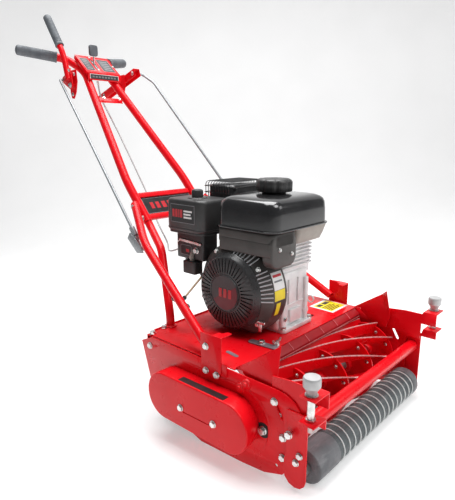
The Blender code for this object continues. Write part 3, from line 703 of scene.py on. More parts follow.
# Bearing collars and the axle cap on the outside of the left plate.
for name, y, z, radius in (("reel", -0.252, 0.131, 0.019), ("counter", -0.136, 0.152, 0.017)):
    profile = [(0.0, 0.0), (radius, 0.0), (radius, 0.004), (radius - 0.003, 0.007)]
    profile += [(0.01, 0.008), (0.009, 0.01), (0.0, 0.01)]
    piece(lathe(f"left_{name}_bearing", profile, (PLATE_X, y, z), TO_LEFT, 32), STEEL)
profile = [(0.0, 0.0), (0.015, 0.0), (0.015, 0.0016), (0.0085, 0.002), (0.0085, 0.0075)]
profile += [(0.007, 0.0085), (0.0, 0.0085)]
piece(lathe("left_axle_cap", profile, (PLATE_X, AXLE_Y, AXLE_Z), TO_LEFT, 28), ZINC)

bolts("reel_bearing_nut", [(-0.2728, -0.2835, 0.135)], TO_RIGHT, 0.0075, 0.008, 0.01)
# A flat near-black disc round the bearing nut: painted shade for the recess the bearing sits in.
profile = [(0.0, 0.0), (0.017, 0.0), (0.0165, 0.001), (0.0, 0.001)]
piece(lathe("reel_bearing_well", profile, (-0.2721, -0.2835, 0.135), TO_RIGHT, 32), PAINTED_SHADE_BLACK)

# The painted-over bosses and tab low in front of the handle bracket.
profile = [(0.0, 0.0), (0.012, 0.0), (0.0105, 0.0035), (0.006, 0.0045), (0.005, 0.008), (0.0, 0.0085)]
bosses = [
    lathe("boss", profile, (-PLATE_X, y, z), TO_RIGHT, 20) for y, z in ((-0.2386, 0.223), (-0.2215, 0.209))
]
piece(joined("painted_bosses", bosses), RED)
piece(block("plate_tab", (-0.2752, -0.1845, 0.218), (-0.2724, -0.17, 0.248), 0.0008), RED)

# Deck furniture: rear nuts, latch plate, tag, wing nut, label and rear lip.
spots = [(x, y, DECK_Z) for x, y in ((-0.26, 0.083), (-0.217, 0.09), (0.26, 0.083), (0.217, 0.09))]
bolts("deck_rear_bolts", spots, UP, 0.006, 0.006, 0.0085)
spots = [(x, y, 0.2547) for x in (-0.04, 0.076) for y in (-0.162, 0.025)]
bolts("engine_foot_bolts", spots, UP, 0.006, 0.0056, 0.008)
latch = slab("latch_plate", [capsule(-0.129, -0.2, -0.129, -0.139, 0.0105, 12)], 0.2424, 0.2452, "Z")
soften(latch, 0.0008)
swing = Matrix.Rotation(math.radians(7), 4, "Z")
latch.data.transform(Matrix.Translation((-0.129, -0.17, 0)) @ swing @ Matrix.Translation((0.129, 0.17, 0)))
piece(latch, TAG)
bolts("latch_bolt", [(-0.129, -0.164, 0.2454)], UP, 0.0068, 0.0075, 0.0098)
piece(slab("deck_tag", [capsule(-0.218, -0.162, -0.214, -0.133, 0.0052, 10)], DECK_Z, 0.243, "Z"), TAG)
x = -0.107
profile = [(0.0, 0.0), (0.007, 0.0), (0.0055, 0.006), (0.0035, 0.0065), (0.0035, 0.011), (0.0, 0.0115)]
wing = [lathe("wing_hub", profile, (x, -0.1925, 0.2424), UP, 20)]
for turn in (-1, 1):
    ear = capsule(x + turn * 0.0065, 0.248, x + turn * 0.0135, 0.2545, 0.0034, 8)
    wing.append(slab("wing", [ear], -0.1937, -0.1913, "Y"))
piece(joined("deck_wing_nuts", wing), ZINC)


def flat_box(x0, y0, x1, y1, z):
    return [(x0, y0, z), (x1, y0, z), (x1, y1, z), (x0, y1, z)]


corners = flat_box(0.175, -0.178, 0.26, -0.1, DECK_Z)
decal("deck_label", corners, 0.0003, WHITE)
decal("deck_label_band", flat_box(0.183, -0.17, 0.256, -0.108, 0.2425), 0.0002, YELLOW)
rows = [(0.16, 0.16 + 0.09 * k, 0.66 if k % 2 else 0.54, 0.045) for k in range(5)]
rows += [(0.16, 0.66, 0.26, 0.18), (0.5, 0.66, 0.3, 0.18)]
marks("deck_label_marks", corners, 0.0007, rows, LABEL_BLACK)
path = [(-0.26, 0.0745, 0.2425), (-0.248, 0.0945, 0.2425), (0.248, 0.0945, 0.2425), (0.26, 0.0745, 0.2425)]
piece(tube("deck_rear_lip", bent(path, 0.01), 0.0028, 12), RED)

# Front channel: a sloping web under the front edge of the deck, coloured dark red as painted shade, with thin
# ribs pressed across it.
web = [(-0.172, 0.2363), (-0.2008, 0.2363), (-0.2149, 0.2245), (-0.2149, 0.218)]
web += [(-0.2171, 0.218), (-0.2171, 0.2255), (-0.2016, 0.2385), (-0.172, 0.2385)]
piece(soften(slab("front_channel_web", [web], -0.259, 0.259), 0.0005), PAINTED_SHADE_RED, ["deck_front_channel"])
# The ribs and the strip along the channel's foot are coloured pale pink as painted highlights.
ribs = []
for i in range(7):
    x = -0.21 + 0.069 * i
    outline = [(-0.2012, 0.238), (-0.202, 0.2398), (-0.2182, 0.2262), (-0.2168, 0.225)]
    ribs.append(slab("rib", [outline], x - 0.0007, x + 0.0007))
outline = [(-0.2171, 0.2185), (-0.2178, 0.2185), (-0.2178, 0.22), (-0.2171, 0.22)]
ribs.append(slab("rib_foot", [outline], -0.258, 0.258))
piece(joined("front_channel_ribs", ribs), PAINTED_GLINT)

# Weld beads where the shields, brackets and crossbars are joined.
beads = []
for s in SIGNS.values():
    beads.append(tube("bead", [(s * 0.2605, -0.1995, 0.243), (s * 0.2605, -0.218, 0.243)], 0.0018, 10))
    for z in (0.256, 0.264):
        beads.append(tube("bead", [(s * 0.2725, -0.13, z), (s * 0.2725, -0.106, z)], 0.0017, 10))
    for y, z, reach in ((0.332, 0.555, 0.1005), (0.283, 0.497, 0.101)):
        ends = [(s * reach, y - 0.005, z - 0.006), (s * (reach + 0.001), y + 0.005, z + 0.006)]
        beads.append(tube("bead", ends, 0.003, 10))
piece(joined("weld_beads", beads), RED)

# ---------------------------------------------------------------- handle
GRIP_R = 0.0165
TUBE_R = 0.0127
LOWER_R = 0.0112
LOWER = [(-0.2608, -0.118, 0.26), (-0.196, 0.185, 0.45), (-0.138, 0.298, 0.538)]
BRACE = [
    (-0.197, 0.087, 0.2424),
    (-0.197, 0.087, 0.27),
    (-0.15, 0.171, 0.428),
    (-0.1146, 0.2558, 0.47),
    (-0.114, 0.269, 0.4858),
]
UPPER = [
    (-0.114, 0.27, 0.487),
    (-0.113, 0.365, 0.597),
    (-0.043, 0.666, 0.938),
    (-0.07, 0.725, 0.979),
    (-0.2, 0.793, 1.0),
]


def ribbed_grip(name, start, end, radius, bore, ribs):
    """A moulded hand grip over a tube end, with a rolled collar, fine rings and a rounded tip."""
    start = Vector(start)
    end = Vector(end)
    length = (end - start).length
    profile = [(bore, 0.0), (radius - 0.0006, 0.0), (radius + 0.001, 0.0012), (radius + 0.001, 0.004)]
    profile.append((radius, 0.0058))
    for i in range(ribs):
        at = 0.01 + (length - 0.03) * i / ribs
        profile += [(radius, at), (radius - 0.0007, at + 0.0009), (radius, at + 0.0018)]
    for i in range(1, 7):
        a = math.radians(15 * i)
        profile.append(
            (max(radius * math.cos(a), 0.0) if i < 6 else 0.0, length - 0.009 + 0.009 * math.sin(a))
        )
    profile += [(0.0, length - 0.0115), (bore, length - 0.0115)]
    return lathe(name, profile, start, end - start, 40)


for side, sign in SIGNS.items():
    for name, path, radius, steps, bar_r, replaced in (
        ("lower_bar", LOWER, 0.035, 14, LOWER_R, "lower_tube"),
        ("brace_bar", BRACE, 0.02, 12, LOWER_R, "rear_brace"),
        ("handle_bar", UPPER, 0.03, 16, TUBE_R, "handle_tube"),
    ):
        bar = tube(f"{side}_{name}", bent(at_side(side, path), radius, steps), bar_r, 32)
        piece(bar, RED, [f"{side}_{replaced}"])
    inner = Vector(UPPER[-2])
    outer = Vector(UPPER[-1])
    heading = (outer - inner).normalized()
    start, end = at_side(side, [inner + heading * 0.032, outer + heading * 0.012])
    piece(ribbed_grip(f"{side}_hand_grip", start, end, GRIP_R, TUBE_R + 0.0004, 22), GRIP, [f"{side}_grip"])
    # The bolts where the lower tube meets the upper one, and the brace's foot washer.
    for number, at in enumerate(at_side(side, [(-0.1372, 0.29, 0.532), (-0.1147, 0.28, 0.4985)])):
        spot = (at[0] + sign * 0.0115, at[1], at[2])
        bolts(f"{side}_junction_bolt{number}", [spot], (sign, 0, 0), 0.0062, 0.005, 0.0078)
    profile = [(0.0, 0.0), (0.0165, 0.0), (0.0165, 0.0018), (0.0125, 0.004), (0.0108, 0.0042), (0.0, 0.0042)]
    piece(lathe(f"{side}_brace_foot", profile, (sign * 0.197, 0.087, 0.2424), UP, 28), RED)

SLOPE = Vector((0.0, -0.6455, -0.764))
FACING = Vector((0.0, 0.764, -0.6455))
base = Vector((0.0, 0.3075, 0.526)) - FACING * 0.0013


def name_plate(half_width, half_height):
    """The corners of a rectangle on the front of the name panel."""
    shares = ((half_width, half_height), (-half_width, half_height))
    shares += ((-half_width, -half_height), (half_width, -half_height))
    return [base + Vector((x, 0, 0)) + SLOPE * s for x, s in shares]


decal("name_panel_border", name_plate(0.096, 0.027), -0.0003, LABEL_GREY)
decal("name_panel_field", name_plate(0.094, 0.0252), -0.0005, LABEL_BLACK)
rows = []
x = 0.05
for width in (0.1, 0.09, 0.05, 0.11, 0.09, 0.11, 0.1, 0.09):
    rows.append((x, 0.28, width * 0.72, 0.44))
    x += width + 0.018
marks("name_panel_marks", name_plate(0.094, 0.0252), -0.0008, rows, LABEL_RED)

# Cross strap under the control panel.
strap = block("cross_strap", (-0.044, -0.01, -0.0012), (0.044, 0.01, 0.0012), 0.0006)
strap.data.transform(Matrix.Translation((0, 0.59, 0.844)) @ Matrix.Rotation(math.radians(49), 4, "X"))
piece(strap, RED)
spots = [(x, 0.5835, 0.85) for x in (-0.03, 0.03)]
bolts("strap_bolts", spots, (0, -0.7547, 0.6561), 0.0042, 0.0032, 0.0056)

# Printed strips and screws on the control panel: its top slopes from its front lip up to its rear edge.
LIP = Vector((0.0, 0.618, 0.931))
REAR = Vector((0.0, 0.69, 0.991))
slope = (REAR - LIP).normalized()
normal = Vector((0.0, -slope.z, slope.y))
for side, x0, x1 in (("right", -0.056, -0.024), ("left", 0.006, 0.054)):
    quad = [
        LIP + slope * s + Vector((x, 0, 0)) for s, x in ((0.012, x0), (0.012, x1), (0.08, x1), (0.08, x0))
    ]
    quad = [q + normal * 0.0003 for q in quad]
    decal(f"{side}_panel_border", quad, 0.0003, LABEL_GREY)
    inset = slope * 0.0022
    edge = Vector((0.0018, 0, 0))
    field = [quad[0] + inset + edge, quad[1] + inset - edge, quad[2] - inset - edge, quad[3] - inset + edge]
    decal(f"{side}_panel_field", field, 0.0005, LABEL_BLACK)
    rows = [(0.15, 0.1 + 0.17 * k, 0.7, 0.09) for k in range(5)]
    marks(f"{side}_panel_marks", field, 0.0008, rows, LABEL_GREY)
front = [(-0.055, 0.6164, 0.91), (0.055, 0.6164, 0.91), (0.055, 0.6168, 0.927), (-0.055, 0.6168, 0.927)]
decal("panel_lip_border", front, 0.0003, WHITE)
field = [(-0.053, 0.6163, 0.9116), (0.053, 0.6163, 0.9116), (0.053, 0.6167, 0.9254), (-0.053, 0.6167, 0.9254)]
decal("panel_lip_field", field, 0.0006, LABEL_BLACK)
marks("panel_lip_marks", field, 0.0009, [(0.06 + 0.11 * k, 0.3, 0.075, 0.4) for k in range(8)], LABEL_GREY)
shares = ((0.02, -0.012), (0.085, -0.012), (0.046, 0.059))
spots = [LIP + slope * s + Vector((x, 0, 0)) + normal * 0.0002 for s, x in shares]
bolts("panel_screws", spots, normal, 0.003, 0.0022, 0.0042)
liner = slab("throttle_slot_liner", [round_rect(-0.0175, 0.0, -0.0065, 0.046, 0.004)], -0.0006, 0.001, "Z")
cut(liner, [slab("throat_hole", [round_rect(-0.0155, 0.002, -0.0085, 0.044, 0.003)], -0.01, 0.01, "Z")])
turn = Matrix((Vector((1, 0, 0)), slope, normal)).transposed().to_4x4()
turn.translation = LIP + slope * 0.022
liner.data.transform(turn)
piece(liner, LABEL_BLACK)

# ---------------------------------------------------------------- levers, rods and throttle
outline = [(0.64, 0.88), (0.656, 0.878), (0.696, 0.9), (0.7, 0.912), (0.69, 0.919)]
outline += [(0.67, 0.926), (0.664, 0.942), (0.648, 0.942), (0.639, 0.9)]
arm = soften(slab("drive_lever_arm", [outline], -0.1086, -0.1046), 0.0008)
path = [(-0.112, 0.654, 0.908), (-0.112, 0.674, 0.986), (-0.112, 0.756, 1.102)]
pin = rod("pin", 0.004, (-0.09, 0.65, 0.889), (-0.106, 0.65, 0.889), 20)
bar = joined("drive_lever_bar", [arm, tube("lever_tube", bent(path, 0.03, 14), 0.0092, 28), pin])
piece(bar, RED, ["right_lever"], "drive_lever")
head = Vector(path[1])
tip = Vector(path[2])
heading = (tip - head).normalized()
grip = ribbed_grip("drive_lever_grip", head + heading * 0.0315, tip + heading * 0.012, 0.013, 0.0096, 16)
piece(grip, GRIP, ["right_lever_grip"], "drive_lever")
for name, x, spots, axis, sizes, body in (
    (
        "drive_lever_bolts",
        -0.1088,
        ((0.65, 0.889), (0.656, 0.933)),
        TO_RIGHT,
        (0.0058, 0.005, 0.0085),
        "drive_lever",
    ),
    (
        "right_bracket_screws",
        -0.0952,
        ((0.646, 0.924), (0.674, 0.924), (0.66, 0.862)),
        TO_RIGHT,
        (0.004, 0.0035, 0.006),
        "frame",
    ),
    ("left_bracket_screws", 0.0952, ((0.646, 0.924), (0.66, 0.862)), TO_LEFT, (0.004, 0.001, 0.006), "frame"),
    (
        "clutch_lever_bolts",
        0.1197,
        ((0.594, 0.939), (0.672, 0.911), (0.77, 0.876)),
        TO_LEFT,
        (0.0055, 0.0048, 0.008),
        "clutch_lever",
    ),
    (
        "clutch_lever_nuts",
        0.0966,
        ((0.594, 0.939), (0.77, 0.876)),
        TO_RIGHT,
        (0.005, 0.003, 0.007),
        "clutch_lever",
    ),
):
    bolts(name, [(x, y, z) for y, z in spots], axis, *sizes, body)

ROD_R = 0.0042
low = Vector((-0.185, 0.237, 0.461))
path = [(-0.1092, 0.691, 0.908), (-0.121, 0.691, 0.908), low, (-0.185, 0.214, 0.427), (-0.165, 0.202, 0.424)]
rod_piece = tube("drive_rod", bent(path, 0.008, 8), ROD_R, 16)
heading = (Vector((-0.1826, 0.254, 0.4777)) - low).normalized()
across = heading.orthogonal().normalized()
other = heading.cross(across)
TURNS = 11
coil = []
for i in range(TURNS * 12 + 1):
    a = 2 * math.pi * i / 12
    around = (across * math.cos(a) + other * math.sin(a)) * 0.007
    coil.append(low + heading * 0.0245 * i / (TURNS * 12) + around)
spring = tube("spring", coil, 0.0011, 8)
clevis = block("clevis", (-0.1915, 0.229, 0.448), (-0.1785, 0.24, 0.462), 0.0015)
outline = [(0.252, 0.47), (0.264, 0.452), (0.224, 0.416), (0.196, 0.42), (0.208, 0.44)]
arm = soften(slab("arm_plate", [outline], -0.1935, -0.191), 0.0006)
profile = [(0.0, 0.0), (0.0078, 0.0), (0.0078, 0.004), (0.0, 0.004)]
collar = lathe("collar", profile, low + heading * 0.025, heading, 20)
piece(
    joined("drive_rod_set", [rod_piece, spring, clevis, arm, collar]),
    ROD_STEEL,
    ["right_control_rod"],
    "right_rod",
)
bend = (0.145, 0.54, 0.908)
end = (0.18, -0.02, 0.32)
path = [(0.1212, 0.594, 0.939), (0.133, 0.594, 0.939), (0.142, 0.585, 0.933), bend, end]
rod_piece = tube("clutch_rod", bent(path, 0.0055, 8), ROD_R, 16)
profile = [(0.0, 0.0), (0.0062, 0.0), (0.0062, 0.026), (0.0048, 0.03), (0.0, 0.03)]
barrel = lathe("clutch_rod_end", profile, end, (Vector(bend) - Vector(end)).normalized(), 20)
piece(joined("clutch_rod_set", [rod_piece, barrel]), ROD_STEEL, ["left_control_rod"], "left_rod")

piece(rod("stem", 0.0026, (-0.012, 0.6565, 0.944), (-0.012, 0.6565, 0.996), 18), ZINC, body="throttle")
pad = slab("throttle_paddle", [round_rect(-0.0275, 0.988, 0.0035, 1.023, 0.007)], 0.6525, 0.661, "Y")
piece(soften(pad, 0.0018, 3), GRIP, ["throttle_lever"], "throttle")
CABLE = [
    (-0.012, 0.642, 0.908),
    (0.006, 0.656, 0.856),
    (0.01, 0.56, 0.73),
    (0.008, 0.428, 0.552),
    (0.0, 0.366, 0.458),
    (-0.05, 0.26, 0.415),
    (-0.1, 0.2, 0.405),
    (-0.09, 0.155, 0.425),
]
piece(tube("throttle_sheath", bent(CABLE, 0.03, 12), 0.0025, 14), CABLE_GREY, ["throttle_cable"])
ends = ((CABLE[0], (-0.0082, 0.645, 0.897)), ((-0.0922, 0.165, 0.4206), CABLE[-1]))
piece(joined("throttle_ferrules", [rod("ferrule", 0.0038, a, b, 16) for a, b in ends]), ZINC)

# ---------------------------------------------------------------- cutting reel
REEL_Y = -0.252
REEL_Z = 0.131
REEL_R = 0.0905
REEL_HALF = 0.25
BLADES = 10
BLADE_TWIST = math.radians(115.0)
BLADE_START = math.radians(-8.8)
SLICES = 64 if FINE else 24
SPIDERS_X = (-0.243, -0.124, 0.0, 0.124, 0.243)


def blade_strip(name, inner, outer, half):
    """Twisted bars between two radii, one for each blade."""
    points = []
    faces = []
    for number in range(BLADES):
        start = len(points)
        for i in range(SLICES + 1):
            x = -REEL_HALF + 2 * REEL_HALF * i / SLICES
            turn = BLADE_START + 2 * math.pi * number / BLADES + BLADE_TWIST * i / SLICES
            for radius, side in ((inner, -half), (outer, -half), (outer, half), (inner, half)):
                y = radius * math.cos(turn) - side * math.sin(turn)
                z = radius * math.sin(turn) + side * math.cos(turn)
                points.append((x, REEL_Y + y, REEL_Z + z))
        faces.append(tuple(start + k for k in (3, 2, 1, 0)))
        faces.append(tuple(start + 4 * SLICES + k for k in range(4)))
        for i in range(SLICES):
            for k in range(4):
                a = start + 4 * i + k
                b = start + 4 * i + (k + 1) % 4
                faces.append((a, b, b + 4, a + 4))
    return mesh_object(name, points, faces)


piece(blade_strip("reel_blades", 0.06, REEL_R - 0.0012, 0.0015), RED, ["reel"], "cutting_reel")
# The blades' outer edges are coloured pale pink, partly the ground steel edge and partly a painted highlight.
piece(blade_strip("reel_blade_edges", REEL_R - 0.0018, REEL_R, 0.0017), GROUND_EDGE_AND_HIGHLIGHT, body="cutting_reel")
spiders = []
rims = []
for x in SPIDERS_X:
    at = (x, REEL_Y, REEL_Z)
    profile = [
        (0.0, -0.002), (0.076, -0.002), (0.079, -0.0017), (0.079, 0.0017), (0.076, 0.002), (0.0, 0.002)
    ]
    spiders.append(lathe("disc", profile, at, TO_LEFT, 64))
    profile = [(0.0, -0.012), (0.019, -0.012), (0.021, -0.009), (0.021, 0.009), (0.019, 0.012), (0.0, 0.012)]
    spiders.append(lathe("hub", profile, at, TO_LEFT, 32))
    profile = [(0.0782, -0.0022), (0.08, -0.0022), (0.08, 0.0022), (0.0782, 0.0022)]
    rims.append(lathe("rim", profile, at, TO_LEFT, 64))
piece(joined("reel_spiders", spiders), RED, body="cutting_reel")
piece(joined("reel_spider_rims", rims), RED, body="cutting_reel")
shaft = rod("reel_shaft", 0.011, (-0.2915, REEL_Y, REEL_Z), (0.27, REEL_Y, REEL_Z), 32, 0.0008)
teeth = []
for i in range(14):
    a = 2 * math.pi * i / 14
    for turn, reach in ((-0.1, 0.0172), (-0.04, 0.0192), (0.04, 0.0192), (0.1, 0.0172)):
        teeth.append((REEL_Y + reach * math.cos(a + turn), REEL_Z + reach * math.sin(a + turn)))
sprocket = slab("sprocket", [teeth], -0.2885, -0.283)
piece(joined("reel_shaft_set", [shaft, sprocket]), STEEL, body="cutting_reel")
spots = []
for x in SPIDERS_X:
    along = (x + REEL_HALF) / (2 * REEL_HALF)
    for number in range(BLADES):
        a = BLADE_START + 2 * math.pi * number / BLADES + BLADE_TWIST * along + 0.16
        spots.append((x - 0.0021, REEL_Y + 0.066 * math.cos(a), REEL_Z + 0.066 * math.sin(a)))
bolts("reel_bolts", spots, TO_RIGHT, 0.0036, 0.003, 0.005, "cutting_reel")

# ---------------------------------------------------------------- roller and height screws
RING_COUNT = 16
RING_FIRST = -0.1477
RING_PITCH = 0.0238
BORE_R = 0.0084
roller_at = (0, ROLLER_Y, ROLLER_Z)
groove_r = ROLLER_R - 0.0022
profile = [(BORE_R, -0.163), (groove_r, -0.163)]
rings = []
for i in range(RING_COUNT):
    x = RING_FIRST + RING_PITCH * i
    profile += [(groove_r, x - 0.0013), (groove_r + 0.0008, x - 0.0012)]
    profile += [(groove_r + 0.0008, x + 0.0012), (groove_r, x + 0.0013)]
    section = [(groove_r - 0.001, x - 0.0013), (ROLLER_R - 0.0006, x - 0.0013), (ROLLER_R, x - 0.0007)]
    section += [(ROLLER_R, x + 0.0007), (ROLLER_R - 0.0006, x + 0.0013), (groove_r - 0.001, x + 0.0013)]
    rings.append(lathe("ring", section, roller_at, TO_LEFT, 64))
profile += [(groove_r, 0.215), (BORE_R, 0.215)]
piece(lathe("roller_body", profile, roller_at, TO_LEFT, 64), ROLLER, ["front_roller"], "roller")
piece(joined("roller_rings", rings), RING, body="roller")
for side, low, high in (("right", -0.2428, -0.1632), ("left", 0.2152, 0.2428)):
    profile = [
        (BORE_R, low), (ROLLER_R - 0.004, low), (ROLLER_R - 0.0008, low + 0.0022), (ROLLER_R, low + 0.005)
    ]
    profile += [(ROLLER_R, high - 0.003), (ROLLER_R - 0.0012, high - 0.0004), (ROLLER_R - 0.003, high)]
    profile.append((BORE_R, high))
    piece(lathe(f"{side}_roller_sleeve", profile, roller_at, TO_LEFT, 64), SLEEVE, body="roller")

for side, sign in SIGNS.items():
    at = (sign * 0.297, -0.411, 0)
    profile = [(0.0, 0.275), (0.0094, 0.275), (0.01, 0.278), (0.01, 0.28), (0.0116, 0.285), (0.0148, 0.2895)]
    profile += [
        (0.0162, 0.2912), (0.0166, 0.293), (0.0166, 0.3056), (0.016, 0.3088), (0.015, 0.31), (0.0, 0.3104)
    ]
    knob = lathe(f"{side}_knob_cast", profile, at, UP, 48)
    piece(knob, KNOB, [f"{side}_height_knob"], f"{side}_knob")
    thread = [(0.0, 0.199), (0.0036, 0.199)]
    z = 0.2
    while z < 0.2278:
        thread += [(0.0046, z), (0.0046, z + 0.0004), (0.0039, z + 0.0009)]
        z += 0.0013
    thread += [(0.0046, 0.2285), (0.0, 0.2285)]
    screw = [
        lathe("sleeve", [(0.0, 0.228), (0.0073, 0.228), (0.0073, 0.275), (0.0, 0.275)], at, UP, 32),
        lathe(
            "collar",
            [(0.0, 0.2236), (0.009, 0.2236), (0.0095, 0.2246), (0.0095, 0.2276), (0.0, 0.2284)],
            at,
            UP,
            32,
        ),
        lathe("washer", [(0.0, 0.2744), (0.0125, 0.2744), (0.0125, 0.2758), (0.0, 0.2758)], at, UP, 32),
        lathe("thread", thread, at, UP, 24),
    ]
    piece(joined(f"{side}_height_screw", screw), ZINC, body=f"{side}_knob")

# ---------------------------------------------------------------- wheels
LUGS = 30
for side, x in (("right", -0.248), ("left", 0.204)):
    at = (x, AXLE_Y, AXLE_Z)
    profile = [(0.082, 0.0035), (0.09, 0.002), (0.1, 0.003), (0.104, 0.006), (0.105, 0.01)]
    profile += [(0.105, 0.034), (0.104, 0.038), (0.1, 0.041), (0.09, 0.042), (0.082, 0.0405)]
    tread = [lathe("tyre", profile, at, TO_LEFT, 72)]
    for i in range(LUGS):
        a = 2 * math.pi * i / LUGS
        for low, high, shift in ((0.006, 0.0205, 0.0), (0.0235, 0.038, math.pi / LUGS)):
            lug = block("lug", (low, -0.0055, 0.1035), (high, 0.0055, WHEEL_R - 0.0001), 0.0008, 1)
            lug.data.transform(Matrix.Translation(at) @ Matrix.Rotation(a + shift, 4, "X"))
            tread.append(lug)
    piece(joined(f"{side}_tyre", tread), RUBBER, [f"{side}_wheel"], "rear_wheels")
    profile = [(0.0089, 0.0), (0.022, 0.0), (0.024, 0.01), (0.074, 0.014), (0.08, 0.008), (0.0822, 0.0034)]
    profile += [
        (0.0822, 0.0406), (0.08, 0.036), (0.074, 0.03), (0.024, 0.034), (0.022, 0.044), (0.0089, 0.044)
    ]
    piece(lathe(f"{side}_wheel_hub", profile, at, TO_LEFT, 64), BLACK, body="rear_wheels")

# ---------------------------------------------------------------- engine
CRANK_Y = -0.064
CRANK_Z = 0.354
FOOT_Z = 0.2424
CAP_AT = (-0.003, -0.097)


def on_crank(x, reach, a):
    """A point round the crankshaft, at an angle from straight back."""
    return (x, CRANK_Y + reach * math.cos(a), CRANK_Z + reach * math.sin(a))


def rounded_stack(name, rows, axis="Z"):
    """Skins rounded rectangles. Each row is (height, u0, v0, u1, v1, corner radius)."""
    loops = []
    for height, u0, v0, u1, v1, radius in rows:
        loops.append([Vector(placed(u, v, height, axis)) for u, v in round_rect(u0, v0, u1, v1, radius, 8)])
    return loft(name, loops)


def rolled_box(name, u0, v0, u1, v1, low, high, radius, edge, axis="Z"):
    """A rounded box whose top and bottom rims are rolled over."""
    rows = []
    turns = ((1.0, 0.0), (0.45, 0.12), (0.12, 0.45), (0.0, 1.0))
    for start, sign, steps in ((low, 1, turns), (high, -1, turns[::-1])):
        for share, drop in steps:
            inset = edge * share
            corner = max(radius - inset * 0.6, 0.001)
            rows.append((start + sign * edge * drop, u0 + inset, v0 + inset, u1 - inset, v1 - inset, corner))
    return rounded_stack(name, rows, axis)


# Crankcase, foot and cylinder
profile = [(0.0, 0.0), (0.066, 0.0), (0.066, 0.004), (0.058, 0.008), (0.026, 0.0084), (0.0, 0.0088)]
parts = [
    rolled_box("case", -0.054, -0.155, 0.078, 0.01, FOOT_Z + 0.006, 0.394, 0.014, 0.006),
    rolled_box("foot", -0.048, -0.17, 0.085, 0.035, FOOT_Z, FOOT_Z + 0.0122, 0.012, 0.002),
    lathe("cheek", profile, (0.0705, CRANK_Y, CRANK_Z - 0.03), TO_LEFT, 56),
    rolled_box("barrel", -0.031, -0.15, 0.093, 0.028, 0.38, 0.468, 0.012, 0.003),
]
for k in range(7):
    z = 0.404 + 0.0098 * k
    parts.append(rolled_box("fin", -0.03, -0.157, 0.096, 0.034, z, z + 0.0032, 0.014, 0.001))
for x, radius, top in ((-0.038, 0.0095, 0.376), (0.062, 0.0075, 0.37)):
    parts.append(rod("column", radius, (x, -0.1565, FOOT_Z + 0.01), (x, -0.1565, top), 28, 0.002))
parts.append(rolled_box("seam", -0.056, -0.1575, 0.0794, 0.012, 0.306, 0.31, 0.014, 0.001))
parts.append(rolled_box("seam", -0.01, -0.162, 0.038, -0.153, 0.262, 0.296, 0.004, 0.002))
for x0, x1 in ((-0.015, -0.011), (0.025, 0.029)):
    parts.append(rolled_box("rib", x0, -0.16, x1, -0.153, 0.312, 0.376, 0.0015, 0.001))
profile = [(0.0, 0.0), (0.011, 0.0), (0.011, 0.007), (0.009, 0.009), (0.0, 0.009)]
parts.append(lathe("plug", profile, (0.064, -0.152, 0.278), (0, -1, 0.3), 28))
piece(joined("crankcase_casting", parts), CAST, ["crankcase"])
spots = []
for i in range(6):
    a = 2 * math.pi * i / 6 + 0.3
    spots.append((0.0788, CRANK_Y + 0.0625 * math.cos(a), CRANK_Z - 0.03 + 0.0625 * math.sin(a)))
bolts("case_bolts", spots, TO_LEFT, 0.0048, 0.0045, 0.0066)
bolts("column_bolts", [(-0.038, -0.166, z) for z in (0.352, 0.28)], FORWARD, 0.0042, 0.004, 0.0058)
eye = []
for i in range(33):
    a = 2 * math.pi * i / 32
    eye.append((0.084, -0.16 + 0.0095 * math.cos(a), 0.303 + 0.0095 * math.sin(a)))
piece(tube("lifting_eye", eye, 0.0022, 12), CAST)

# Blower housing: a rolled band with a wide chamfer, open at the bottom, and the starter cover on its face.
first_angle = math.radians(-60.0)
last_angle = math.radians(240.0)
loops = []
for x, reach in ((-0.0565, 0.118), (-0.106, 0.118), (-0.1094, 0.1168), (-0.129, 0.0985)):
    angles = [first_angle + (last_angle - first_angle) * i / 80 for i in range(81)]
    loops.append([Vector(on_crank(x, reach, a)) for a in angles])
piece(loft("blower_band", loops), COWL, ["blower_housing"], angle=32)
profile = [(0.0, 0.0), (0.0975, 0.0), (0.0975, 0.0035), (0.095, 0.007), (0.091, 0.011), (0.089, 0.0145)]
profile += [(0.086, 0.0168), (0.07, 0.0192), (0.0485, 0.0206), (0.0475, 0.0194), (0.0455, 0.0194)]
profile += [(0.0445, 0.022), (0.0, 0.0224)]
recoil = lathe("recoil_shell", profile, (-0.129, CRANK_Y, CRANK_Z), TO_RIGHT, 96)
if FINE:
    slots = []
    for i in range(44):
        bar = block("slot", (-0.16, 0.051, -0.0016), (-0.144, 0.0855, 0.0016))
        turn = Matrix.Rotation(2 * math.pi * i / 44, 4, "X")
        bar.data.transform(Matrix.Translation((0, CRANK_Y, CRANK_Z)) @ turn)
        slots.append(bar)
    cut(recoil, slots)
piece(recoil, FAN_GREY, ["recoil_cover"])
profile = [(0.0, 0.0), (0.043, 0.0), (0.043, 0.0008), (0.0, 0.001)]
piece(lathe("recoil_disc", profile, (-0.1512, CRANK_Y, CRANK_Z), TO_RIGHT, 48), WELL)
half = [on_crank(0.0, 0.0412, math.radians(a))[1:] for a in range(150, 331, 6)]
piece(slab("recoil_disc_half", [half], -0.1526, -0.1518), MAROON)
rows = []
for k in range(3):
    y = CRANK_Y - 0.023 + 0.0155 * k
    outline = round_rect(y, CRANK_Z - 0.011, CRANK_Y - 0.0135 + 0.0155 * k, CRANK_Z + 0.011, 0.001)
    rows.append(slab("mark", [outline], -0.1531, -0.1524))
piece(joined("recoil_marks", rows), LABEL_RED)
# The grille bars are coloured pale grey as a painted highlight on black plastic.
bars = []
for first, count in ((146.0, 8), (96.0, 7)):
    for k in range(count):
        a = math.radians(first + 5.4 * k)
        bars.append(rod("bar", 0.0017, on_crank(-0.1306, 0.097, a), on_crank(-0.109, 0.1178, a), 12, 0.0005))
piece(joined("chamfer_grille", bars), PAINTED_HIGHLIGHT_BAR)
spots = [on_crank(-0.1215, 0.106, math.radians(degrees)) for degrees in (140.0, 60.0, -20.0, 220.0)]
bolts("recoil_screws", spots, TO_RIGHT, 0.0045, 0.006, 0.007)


